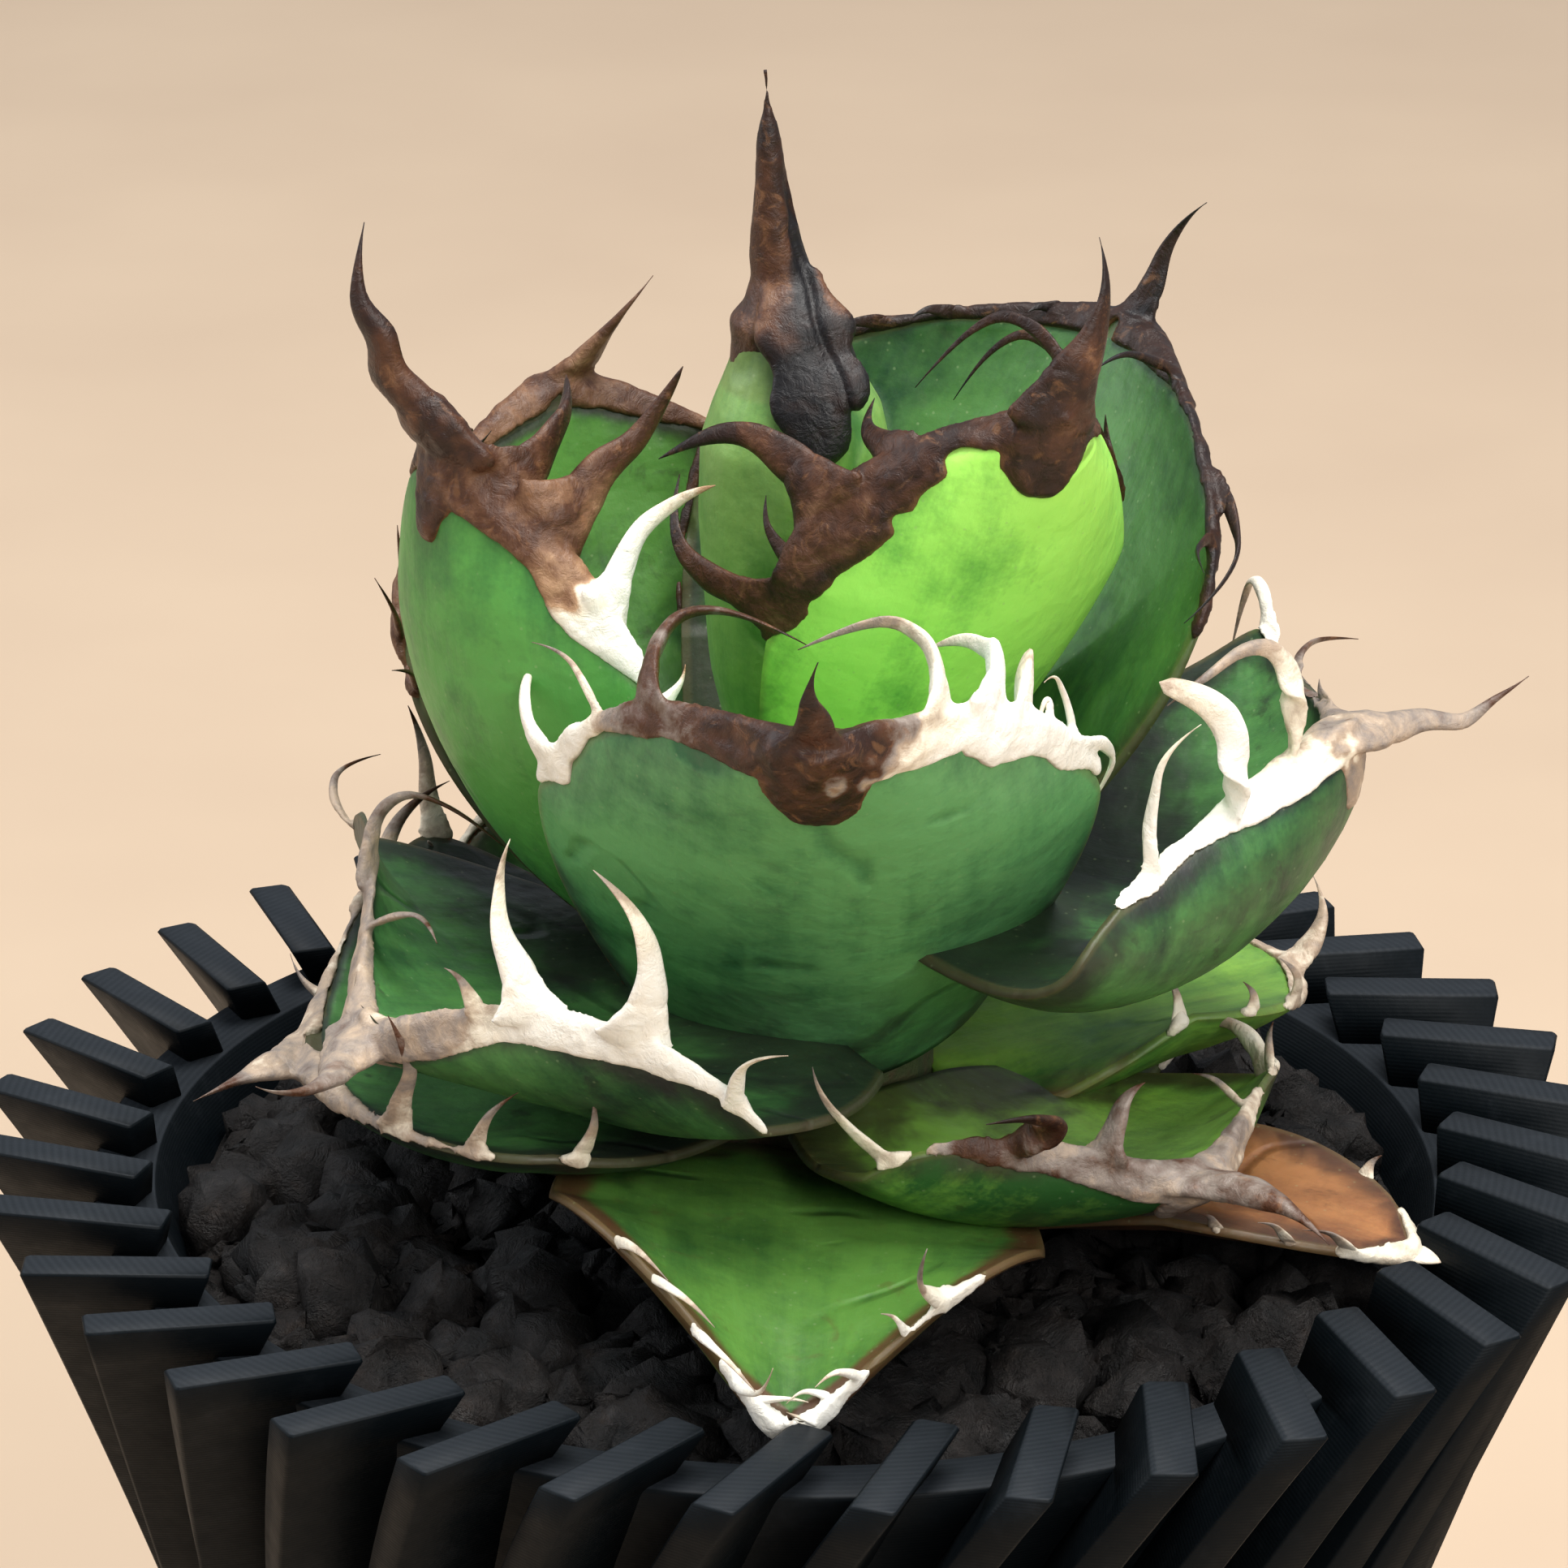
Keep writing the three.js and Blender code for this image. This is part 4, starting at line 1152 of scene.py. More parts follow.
BROWN_HORNED = ("01", "02", "03", "05")
LIME = Flesh((0.44, 0.92, 0.14), (0.06, 0.32, 0.045), (0.03, 0.12, 0.03), 0.0, 0.66)
GREEN = Flesh((0.09, 0.32, 0.06), (0.014, 0.095, 0.026), (0.03, 0.03, 0.02), 0.2, 0.5)
INNER_GREEN = Flesh((0.055, 0.16, 0.032), (0.008, 0.045, 0.014), (0.028, 0.024, 0.016), 0.3, 0.46)
BLUE_GREEN = Flesh((0.13, 0.37, 0.13), (0.02, 0.12, 0.045), (0.035, 0.045, 0.036), 0.3, 0.52)
SHADED = Flesh((0.09, 0.25, 0.04), (0.012, 0.06, 0.017), (0.022, 0.016, 0.013), 0.62, 0.42, 0.1)
DUSKY = Flesh((0.08, 0.24, 0.06), (0.010, 0.05, 0.02), (0.017, 0.014, 0.016), 0.66, 0.4, 0.12)
YELLOW_GREEN = Flesh((0.26, 0.52, 0.07), (0.022, 0.10, 0.02), (0.035, 0.018, 0.014), 0.5, 0.58, 0.5)
RUSTY = Flesh((0.10, 0.25, 0.04), (0.018, 0.08, 0.018), (0.10, 0.028, 0.016), 0.4, 0.46, 0.0, 0.75)
RED_LEAF = Flesh((0.22, 0.44, 0.06), (0.05, 0.16, 0.03), (0.15, 0.05, 0.035), 0.15, 0.5, 0.0, 0.3)
DRIED = Flesh((0.40, 0.17, 0.06), (0.12, 0.036, 0.015), (0.035, 0.012, 0.007), 0.6, 0.5)

LEAVES = [
    Leaf("04", 271, (8, 6.3), (46, 49, 0.8), 51, 21, (51, 52, 76), 4.8, 1, -5, 0.93,
         (1.9, 8.5, -5, 5, 5, 5, 1.0),
         [(0.63, 1.2, 14.5, -5, -5, -20, 80), (0.76, 0.6, 8.5, -5, 10, -5, -20),
          (0.84, 1.5, 19, 10, 15, 10, 110)],
         [(0.91, 1.4, 17, 10, 10, 5, 110), (0.85, 1.9, 14, -10, 5, -65, 40), (0.79, 1.8, 5, 0, 25, 0, 0, 0.4),
          (0.69, 0.8, 15.5, -35, -15, -90, 20), (0.74, 0.5, 9, 30, 20, -190, -30),
          (0.66, 0.4, 11, 60, 25, 50, -20)],
         flesh=BLUE_GREEN,
         tones=[(-1.0, 0.1), (-0.26, 0.1), (-0.2, 0.52), (0.0, 0.74), (0.05, 0.5), (0.09, 0.2), (0.13, 0.0),
                (1.0, 0.0)],
         bands=[(-0.42, 0.0), (-0.36, 1.6), (-0.25, 0.8), (-0.16, 1.4), (0.0, 1.8), (0.16, 1.5), (0.3, 1.8),
                (0.36, 0.8), (0.42, 0.0)],
         tongue=(3.4, 4.4), grain=0.2),
    Leaf("01", 314, (6, 23.2), (51, 73, 0.7), 38, 15, (55, 49, 89), 4.4, -14, -3, 0.94,
         (3.2, 12, 20, 5, -10, 15, 0.35),
         [(0.82, 1.6, 9, -20, 20, 10, 15), (0.68, 2.3, 15.5, 30, 20, -65, -40), (0.57, 0.8, 6, 10, 30, 5, 5),
          (0.48, 1.6, 14.5, -20, 0, 40, 45)],
         [(0.97, 0.9, 20, 40, 5, -110, 25), (0.95, 0.8, 18, 35, 5, -105, 15), (0.7, 0.8, 5, 20, 20, 30, 0)],
         flesh=LIME, tones=[(-1.0, 0.62), (-0.3, 0.66), (0.0, 0.72), (1.0, 0.7)],
         bands=[(-0.62, 0.0), (-0.5, 1.2), (-0.3, 2.6), (-0.12, 1.8), (0.0, 2.2), (0.08, 1.4), (0.14, 0.5),
                (0.3, 0.3), (0.5, 0.0)],
         tongue=(2.6, 4.6), grain=0.2),
    Leaf("02", 207, (5.3, 11.9), (12, 103, 0.8), 53, 17, (50, 61, 64), 4.6, 7, 4, 0.94,
         (3.4, 16.5, -17, -52, 0, 40, 0.7), 3,
         [(0.94, 2.2, 10, 45, 30, 10, 10, 0.6), (0.89, 2.4, 14.5, 35, 30, 15, -15, 0.6),
          (0.77, 1.7, 12, 65, 30, -30, -15, 0.55), (0.62, 0.8, 4, 20, 20, 20, 0)],
         flesh=GREEN,
         tones=[(-1.0, 0.6), (0.0, 0.7), (0.12, 0.55), (0.19, 0.4), (0.22, 0.05), (0.3, 0.0), (1.0, 0.3)],
         bands=[(-0.6, 0.0), (-0.4, 0.4), (0.0, 2.0), (0.12, 1.7), (0.2, 2.0), (0.28, 1.2), (0.36, 0.0)],
         tongue=(2.2, 2.6), grain=0.2),
    Leaf("03", 41.5, (5.3, 17.3), (42, 66, 0.8), 42.5, 26.5, (48, 52, 54), 4.4, 6, -5, 0.95,
         (1.5, 11, -5, 5, -20, 5, 1.0),
         [(0.94, 0.6, 10, 10, 30, -25, 0), (0.81, 0.8, 15.5, -20, -40, -35, 45),
          (0.71, 0.6, 9, -10, 10, -5, -10)],
         [(0.97, 0.7, 3, -10, 25, -10, 0), (0.9, 0.7, 4.5, -10, 25, -10, 0), (0.84, 0.7, 6, -5, 25, -35, 5)],
         flesh=INNER_GREEN, tones=[(-1.0, 0.7), (0.0, 0.85), (1.0, 0.7)],
         bands=[(-0.55, 0.0), (-0.4, 0.5), (0.0, 1.0), (0.3, 0.8), (0.5, 0.5), (0.7, 0.3)]),
    Leaf("05", 126, (6.7, 11), (16, 86, 0.9), 45.5, 22, (47, 55, 47), 4.6, -6, -5, 0.95,
         (1.7, 10.5, -35, 25, -5, -10, 1.0), 4,
         [(0.86, 0.8, 4, 10, 20, 20, 0), (0.74, 0.6, 6, 15, 15, 30, 0), (0.64, 0.6, 9.5, 10, 15, 10, -5),
          (0.53, 0.6, 8, 5, 15, 0, -5)],
         flesh=SHADED, tones=[(-1.0, 0.25), (-0.4, 0.45), (0.0, 0.55), (1.0, 0.4)]),
    Leaf("06", 342, (9.6, 18.3), (-14, 108, 1.6), 40, 26.5, (42, 49, 58), 4.8, 10, -18, 0.95,
         (2.4, 14.5, 105, -35, -15, -5),
         [(0.8, 0.7, 11.5, 70, 20, 25, -15), (0.91, 1.7, 12.5, 105, -5, -65, 5, 0.25),
          (0.97, 1.6, 21, 110, 5, -120, -30)],
         [(0.65, 0.8, 16.5, 20, -5, -130, -15), (0.79, 0.8, 10, -5, -35, 0, -45), (0.92, 0.8, 4, 5, -20, 0, 0)],
         flesh=DUSKY,
         tones=[(-1.0, 0.05), (-0.06, 0.0), (0.0, 0.42), (0.08, 0.4), (0.2, 0.55), (0.3, 0.1), (1.0, 0.1)],
         bands=[(-0.27, 0.0), (-0.22, 0.9), (-0.12, 1.0), (-0.08, 2.0), (-0.03, 1.6), (0.0, 1.4), (0.1, 0.5),
                (0.35, 0.5), (0.4, 0.0)],
         grain=0.2),
    Leaf("07", 220.5, (7, 6.8), (6, 26, 1), 32.5, 26, (35, 31, 91), 4.6, -4, -12, 0.96,
         (2.4, 12.5, 55, -25, -30, 15),
         [(0.88, 1.0, 18.5, 20, 0, -125, 25), (0.6, 0.6, 11, 15, -20, -75, 25),
          (0.93, 0.8, 9.5, 0, 50, 0, 40)],
         [(0.91, 0.8, 4.5, 40, 25, 15, -5), (0.86, 1.9, 12, 45, 35, -15, 0),
          (0.76, 1.9, 13.5, 10, 15, 45, 25), (0.6, 0.9, 9, 50, 30, -50, -25)],
         flesh=DUSKY, tones=[(-1.0, 0.3), (-0.1, 0.4), (0.0, 0.42), (0.08, 0.38), (0.12, 0.05), (1.0, 0.0)],
         bands=[(-0.3, 0.0), (-0.2, 0.3), (-0.05, 0.6), (0.0, 1.4), (0.08, 2.6), (0.11, 0.6), (0.3, 0.9),
                (0.33, 0.4), (0.36, 0.0)],
         grain=0.2),
    Leaf("08", 80.5, (6, 7.7), (5, 75, 1), 41, 22.5, (42, 49, 60), 4.8, 0, 0, 0.94,
         (2.6, 13, 0, -15, 5, 15), 2, 2,
         flesh=INNER_GREEN, tones=[(-1.0, 0.3), (0.0, 0.6), (1.0, 0.3)], grain=0.34),
    Leaf("09", 313.5, (8.7, 1), (-10, 40, 1.1), 31, 20, (33, 37, 72), 4.4, -6, -2, 0.95,
         (2.4, 11, 5, -25, 10, -20),
         [(0.64, 0.8, 9, -15, 5, 5, 5), (0.82, 1.6, 14, 95, 25, -85, -75), (0.93, 1.6, 6, 30, 35, 20, 10)],
         [(0.62, 1.0, 11, -35, 20, -70, -10), (0.76, 0.7, 4, 0, 30, 20, 0), (0.89, 0.6, 5, -35, 35, -5, 0)],
         flesh=YELLOW_GREEN,
         tones=[(-1.0, 0.2), (-0.3, 0.2), (-0.2, 0.7), (-0.1, 0.42), (0.0, 0.5), (0.1, 0.3), (1.0, 0.15)],
         bands=[(-0.24, 0.0), (-0.21, 0.9), (-0.15, 0.7), (-0.09, 2.4), (-0.04, 1.3), (0.0, 1.4), (0.08, 0.8),
                (0.13, 0.4), (0.16, 0.0)],
         grain=0.2),
    Leaf("10", 197.5, (7.9, 4.8), (-11, 24, 1), 29, 24, (33, 43, 37), 4.2, -7, -9, 0.95,
         (2.4, 9, 40, -10, -5, -10), 2, 3,
         flesh=DUSKY, tones=[(-1.0, 0.15), (0.0, 0.38), (1.0, 0.15)],
         bands=[(-0.08, 0.0), (-0.04, 0.5), (0.0, 1.0), (0.04, 0.5), (0.08, 0.0)], grain=0.24),
    Leaf("11", 21, (8.4, -0.4), (9, 12, 1), 29, 15, (28, 66, 37), 4.2, 3, 3, 0.95,
         (1.6, 8, 0, 20, 60, 30), 3, 2,
         flesh=RED_LEAF, bands=[(-0.2, 0.0), (0.0, 0.9), (0.2, 0.0)], grain=0.26),
    Leaf("12", 267, (5.5, -4.7), (27, -23, 1.2), 40, 17, (14, 25, 93), 3.8, -6, 4, 1.0, (1.1, 3, 0, -5, 0, 0),
         [(0.75, 0.5, 7, 60, 30, 60, 0), (0.81, 0.5, 7, 70, 35, 60, 0), (0.88, 0.5, 8, 70, 25, 30, 10),
          (0.94, 0.5, 8, 70, 20, -45, 0), (0.965, 0.4, 4, 20, 60, 140, 30),
          (0.985, 0.4, 3.5, -40, 50, -120, 20)],
         [(0.8, 1.0, 9, 80, 45, -55, -10), (0.87, 0.5, 3.5, 15, 40, 10, 10), (0.93, 0.5, 6, 35, 35, 25, 5),
          (0.96, 0.4, 4, -30, 60, 120, 0), (0.98, 0.4, 3, 40, 30, -130, 40)],
         flesh=RUSTY, tones=[(-1.0, 0.3), (-0.2, 0.15), (0.0, 0.0), (0.2, 0.15), (1.0, 0.3)],
         bands=[(-0.03, 0.0), (0.0, 0.4), (0.03, 0.0)], tongue=(0.5, 1.0), grain=0.2),
    Leaf("13", 107.5, (7.8, -0.7), (15, 42, 1), 31.5, 21, (22, 28, 45), 4.2, 1, -1, 0.95,
         (2.2, 9, 0, -10, 10, 10), 2, 2, flesh=SHADED, grain=0.34),
    Leaf("14", 338, (10, -5.5), (19, -7, 1), 34.5, 9.5, (10, 37, 27), 2.6, -1, -4, 0.97, (1.3, 3, 0, 0, 0, 0),
         [(0.67, 0.6, 3, -5, 20, -5, -5), (0.8, 0.6, 5, -5, 15, -5, -5), (0.9, 0.7, 6, 0, 20, -30, -20)],
         2, flesh=DRIED, tones=[(-1.0, 0.5), (0.0, 0.2), (1.0, 0.5)],
         bands=[(-0.1, 0.0), (0.0, 0.8), (0.1, 0.0)], tongue=(1.0, 1.2), dead=True),
    Leaf("15", 61.5, (7.6, -5.3), (6, 17, 1), 28.5, 17, (24, 31, 40), 3.8, 9, 0, 0.96,
         (1.8, 7, 0, -5, 10, 10), 2, 1, flesh=SHADED, grain=0.34),
    Leaf("16", 148.5, (8, -6.1), (-2, 16, 1), 31, 16.5, (26, 36, 40), 3.8, 1, 0, 0.96,
         (1.8, 8, 0, -5, -10, 10), 1, 2, flesh=SHADED, grain=0.34),
]


Table = tuple[tuple[float, float, float], ...]


@dataclass
class Bud:
    """The youngest leaves, rolled round the growing point, under a tall spine.

    Attributes:
        cone: Sideways place, height and radius of each ring of the green cone.
        spike: The same for the horn on it.
        lobes: Tongues of horn on it, each with the three points that steer it, its half-width, its
            half-thickness and how dark it is at root and tip. The first runs down the front.
        sides: Corners of a ring.
        steps: How many rings there are.
    """

    cone: Table = ((0, 25.5, 5.0), (-0.8, 34, 6.5), (-1.5, 44, 6.6), (-1.6, 49.7, 6.45), (-1.5, 52.2, 5.8),
                   (-1.8, 55.3, 4.3), (-2.2, 57.2, 3.6), (-2.4, 59, 2.6))
    spike: Table = ((-1.9, 54.6, 4.3), (-1.95, 56.65, 4.0), (-2.4, 58.0, 3.75), (-2.41, 59.1, 2.85),
                    (-2.56, 61.1, 2.1), (-3.06, 63.8, 1.6), (-3.42, 68, 1.05), (-3.59, 71.9, 0.5),
                    (-3.78, 75.05, 0.05))
    lobes: tuple[tuple[Table, float, float, tuple[float, float]], ...] = (
        (((-1.9, -0.4, 62.0), (-0.9, -5.6, 55.5), (0.9, -6.9, 50.1)), 3.5, 1.35, (0.9, 0.98)),
        (((1.0, -4.3, 57.3), (2.2, -5.4, 55.9), (2.0, -6.3, 53.6)), 1.5, 0.9, (0.85, 0.95)),
        (((-3.2, -1.2, 59.6), (-4.2, -2.2, 58.3), (-4.5, -2.8, 57.0)), 1.0, 0.8, (0.55, 0.6)),
    )
    sides: int = 48
    steps: int = 60

    def ringed(self, table: Table, flat: float) -> Array:
        """Draws smooth rings through a table.

        Args:
            table: Sideways place, height and radius of each ring.
            flat: Depth of a ring as a share of its width.

        Returns:
            Corner places by ring, by corner, by axis.
        """
        at = np.linspace(0, len(table) - 1, self.steps)
        x, z, radius = (np.interp(at, np.arange(len(table)), row)[:, None] for row in np.array(table).T)
        turn = np.linspace(0, 2 * np.pi, self.sides, endpoint=False)
        level = np.broadcast_to(z, (self.steps, self.sides))
        return np.stack([x + np.cos(turn) * radius, np.sin(turn) * radius * flat, level], -1)

    def cone_shell(self) -> Shell:
        """Returns the green cone, with the attributes that the skin reads."""
        rings = self.ringed(self.cone, 1.0)
        x, y, z = np.moveaxis(rings, -1, 0)
        values = {"run": z, "side": np.arctan2(y, x + 1.5) * 6, "rim": np.maximum(54 - z, 0),
                  "low": 1 - smoothstep(30, 45, z), "inner": 0 * z}
        shell = lofted(rings, values)
        return roughened(smoothed(shell, 2), [(0.2, 9)], 5)

    def horn_shell(self) -> Shell:
        """Returns the spine and its tongue in one skin, cracked down the right of the front."""
        spike = self.ringed(self.spike, 0.9)
        height = spike[:, :1, 2]
        cone = lofted(spike, {"tone": 0.62 + 0.12 * smoothstep(60, 70, height), "reach": 0.5 + 0 * height})
        broad = np.array([1.0, 0, 0])
        melting = [cone]
        for seed, (line, wide, thick, tone) in enumerate(self.lobes, 11):
            lobe = Spike(np.array(line), broad, broad, wide, thick, 0.3, 0.0, 1.0, tone, seed, 0.0, 0.0)
            melting.append(lobe.shell(steps=20))
        skin = grown_together(melting, 0.2, 7)
        x, y, z = skin.points.T
        crack = np.interp(z, [51, 55, 58, 61, 66, 70], [3.0, 1.6, 0.2, -0.9, -2.2, -3.0])
        crack = crack + 0.35 * ripple(z, 1.6, 21)
        near = np.exp(-(((x - crack) / 0.26) ** 2)) * (y < 0)
        near = near * smoothstep(52, 54, z) * (1 - smoothstep(66, 69, z))
        skin.points = skin.points - normals_of(skin) * (0.3 * near)[:, None]
        edge = 58.6 + 0.25 * (x + 2) + 5.5 * np.exp(-(((x - crack) / 0.9) ** 2))
        char = smoothstep(-1.0, 1.0, edge - z + 1.6 * noise(skin.points, 2.2, 31))
        char = char * (y < 1) * smoothstep(-4.6, -3.6, x)
        tone = lerp(0.62 + 0.14 * smoothstep(60, 70, z), 0.97, char)
        skin.values["tone"] = np.clip(tone + 0.25 * near, 0, 1)
        skin.values["reach"] = 0.5 + 0 * z
        return roughened(skin, [(0.22, 2.6), (0.03, 0.8)], 9)

    def build(self, horn_material: bpy.types.Material) -> None:
        """Makes both pieces of the bud."""
        skin = Flesh((0.24, 0.42, 0.10), (0.07, 0.20, 0.05), (0.05, 0.06, 0.03), 0.0, 0.5).material("bud_skin")
        for name, shell, material, slot, node in (
            ("bud_flesh", self.cone_shell(), skin, "leaf_flesh", "bud_blade"),
            ("bud_horns", self.horn_shell(), horn_material, "brown_horn", "bud_horn"),
        ):
            shell.points = shell.points + ROSETTE
            placed(name, as_mesh(name, shell), material, [node])


# Pot and gravel


class NodeTree:
    """A Geometry Nodes tree, built input by input and node by node."""

    def __init__(self, name: str, inputs: list[tuple[str, str, float | int]]) -> None:
        """Starts a tree with a mesh going in and out.

        Args:
            name: Its name.
            inputs: Name, kind and value of each further input.
        """
        self.group = bpy.data.node_groups.new(name, "GeometryNodeTree")
        face = self.group.interface
        face.new_socket("Geometry", in_out="INPUT", socket_type="NodeSocketGeometry")
        face.new_socket("Geometry", in_out="OUTPUT", socket_type="NodeSocketGeometry")
        self.ids: dict[str, str] = {}
        self.settings: dict[str, float | int] = {}
        for label, kind, value in inputs:
            socket = face.new_socket(label, in_out="INPUT", socket_type=f"NodeSocket{kind}")
            self.ids[label] = socket.identifier
            self.settings[label] = value
        self.start = self.group.nodes.new("NodeGroupInput")
        self.end = self.group.nodes.new("NodeGroupOutput")

    def node(self, kind: str, operation: str = "", **inputs: object) -> bpy.types.Node:
        """Adds a node.

        Args:
            kind: Its type, without the prefix that all of them have.
            operation: Its operation, where it has one.
            **inputs: Its inputs by name, with underscores for spaces, or i0 and i1 for the first two. Each is a
                value, or a socket to link.

        Returns:
            The node.
        """
        prefix = "ShaderNode" if kind in ("Math", "VectorMath", "CombineXYZ", "TexNoise") else "GeometryNode"
        made = self.group.nodes.new(prefix + kind)
        if operation:
            made.operation = operation
        for label, value in inputs.items():
            socket = made.inputs[int(label[1]) if label in ("i0", "i1") else label.replace("_", " ")]
            if isinstance(value, Socket):
                self.group.links.new(value, socket)
            else:
                socket.default_value = value
        return made

    def applied(
        self, name: str, mesh: bpy.types.Mesh, end: Socket, material: bpy.types.Material
    ) -> bpy.types.Mesh:
        """Ends the tree, runs it on a mesh and makes the result plain.

        Args:
            name: Name of the new mesh.
            mesh: What goes in.
            end: The last geometry.
            material: Set on all faces.

        Returns:
            The new mesh.
        """
        real = self.node("RealizeInstances", Geometry=end)
        dressed = self.node("SetMaterial", Geometry=real.outputs[0], Material=material)
        self.group.links.new(dressed.outputs[0], self.end.inputs[0])
        holder = bpy.data.objects.new(name, mesh)
        bpy.context.scene.collection.objects.link(holder)
        modifier = holder.modifiers.new(name, "NODES")
        modifier.node_group = self.group
        for label, identifier in self.ids.items():
            modifier[identifier] = self.settings[label]
        graph = bpy.context.evaluated_depsgraph_get()
        result = bpy.data.meshes.new_from_object(holder.evaluated_get(graph))
        holder.modifiers.remove(modifier)
        bpy.data.objects.remove(holder)
        result.name = name
        result.shade_smooth()
        return result


@dataclass
class Pot:
    """A plain cup inside a ring of swirled upright fins.

    Attributes:
        rim_radius: Radius over the fins at the rim.
        flare_radius: The radius that the flare starts from.
        flare_length: The height in which the flare grows by its own size.
        fins: How many fins.
        fin_thickness: Their thickness.
        swirl: How far they lean off the radial line.
        twist: How far they turn for each millimetre down.
        first: Where the first fin stands.
        fin_inner: How far in their tops reach.
        drop: The cup's ring lies this far under the rim.
        inset: The cup's wall lies this far inside the fins.
        wall: The cup's wall.
        floor: The cup's floor.
        drain: Radius of the hole in the floor.
        bevel: How far the edges of a fin are cut off.
        chamfer: How far those of the cup's ring are.
        sunk: How far a fin goes on into the cup's wall.
        sides: Corners of the cup's rings.
    """

    rim_radius: float = 56
    flare_radius: float = 21
    flare_length: float = 76
    fins: int = 36
    fin_thickness: float = 3.1
    swirl: float = 25
    twist: float = 0.5
    first: float = 5
    fin_inner: float = 45.8
    drop: float = 3.2
    inset: float = 6.2
    wall: float = 4.4
    floor: float = 4
    drain: float = 5
    bevel: float = 0.22
    chamfer: float = 0.25
    sunk: float = 1.2
    sides: int = 180

    def rim(self, z: Array | float) -> Array | float:
        """Returns the radius over the fins at a height."""
        flare = np.exp((z - POT_HEIGHT) / self.flare_length)
        return self.flare_radius + (self.rim_radius - self.flare_radius) * flare

    def fin_mesh(self) -> bpy.types.Mesh:
        """Returns one fin with chamfered edges, in metres."""
        top = POT_HEIGHT - self.drop
        b = self.bevel
        rings = []
        for height in (0.0, b, *np.linspace(2, top - 0.3, 30), top - 0.05, POT_HEIGHT - b, POT_HEIGHT):
            shrink = b if height in (0.0, POT_HEIGHT) else 0.0
            inner = self.fin_inner if height > top - 0.1 else self.rim(height) - self.inset - self.sunk
            az = math.radians(self.first - self.twist * (POT_HEIGHT - height))
            out = az - math.radians(self.swirl)
            heading = np.array([math.cos(out), math.sin(out), 0])
            flat = np.array([-heading[1], heading[0], 0])
            tip = np.array([math.cos(az), math.sin(az), 0]) * self.rim(height) + np.array([0, 0, height])
            half = self.fin_thickness / 2 - shrink
            run = float((tip + flat * half) @ heading)
            off = float((tip + flat * half) @ flat)
            depth = run - math.sqrt(max(inner * inner - off * off, 0))
            corners = [(-depth, -half + b), (-depth + b, -half), (-shrink - b, -half), (-shrink, -half + b),
                       (-shrink, half - b), (-shrink - b, half), (-depth + b, half), (-depth, half - b)]
            rings.append([tip + heading * x + flat * y for x, y in corners])
        return as_mesh("fin", lofted(np.array(rings), {}))

    def fins_mesh(self, material: bpy.types.Material) -> bpy.types.Mesh:
        """Stands the fins in a ring with Geometry Nodes.

        Args:
            material: Their material.

        Returns:
            All fins in one mesh.
        """
        turn_each = math.radians(360 / self.fins)
        tree = NodeTree("fin_ring", [("Fins", "Int", self.fins), ("Turn", "Float", turn_each)])
        points = tree.node("Points", Count=tree.start.outputs["Fins"])
        index = tree.node("InputIndex")
        angle = tree.node("Math", "MULTIPLY", i0=index.outputs[0], i1=tree.start.outputs["Turn"])
        turn = tree.node("CombineXYZ", Z=angle.outputs[0])
        ring = tree.node("InstanceOnPoints", Points=points.outputs[0], Instance=tree.start.outputs["Geometry"],
                         Rotation=turn.outputs[0])
        return tree.applied("pot_fins", self.fin_mesh(), ring.outputs[0], material)

    def cup_mesh(self) -> bpy.types.Mesh:
        """Returns the cup with its ring and drain, in metres."""
        top, cut, side = POT_HEIGHT - self.drop, self.chamfer, self.sides
        heights = np.linspace(0, top, 24)
        outer = [(self.rim(z) - self.inset, z) for z in heights[:-1]]
        reach = self.rim(top) - self.inset
        edge = [(reach, top - cut), (reach - cut, top), (reach - self.wall + cut, top),
                (reach - self.wall, top - cut)]
        inner = [(self.rim(z) - self.inset - self.wall, z) for z in heights[-2:0:-1] if z > self.floor]
        profile = [*outer, *edge, *inner, (self.rim(self.floor) - self.inset - self.wall, self.floor),
                   (self.drain, self.floor), (self.drain, 0)]
        turn = np.linspace(0, 2 * np.pi, side, endpoint=False)
        radius, height = np.array(profile).T
        rings = np.stack([radius[:, None] * np.cos(turn), radius[:, None] * np.sin(turn),
                          np.broadcast_to(height[:, None], (len(profile), side))], -1)
        shell = lofted(rings, {})
        shell.faces = shell.faces[:-2]
        last = (len(profile) - 1) * side
        shell.faces += [(last + k, last + (k + 1) % side, (k + 1) % side, k) for k in range(side)]
        return as_mesh("pot_cup", shell)

    def build(self) -> None:
        """Makes both pieces of the pot."""
        plastic = PrintedPlastic().material("printed_plastic")
        placed("pot_fins", self.fins_mesh(plastic), plastic, ["pot"])
        placed("pot_cup", self.cup_mesh(), plastic, ["pot"])


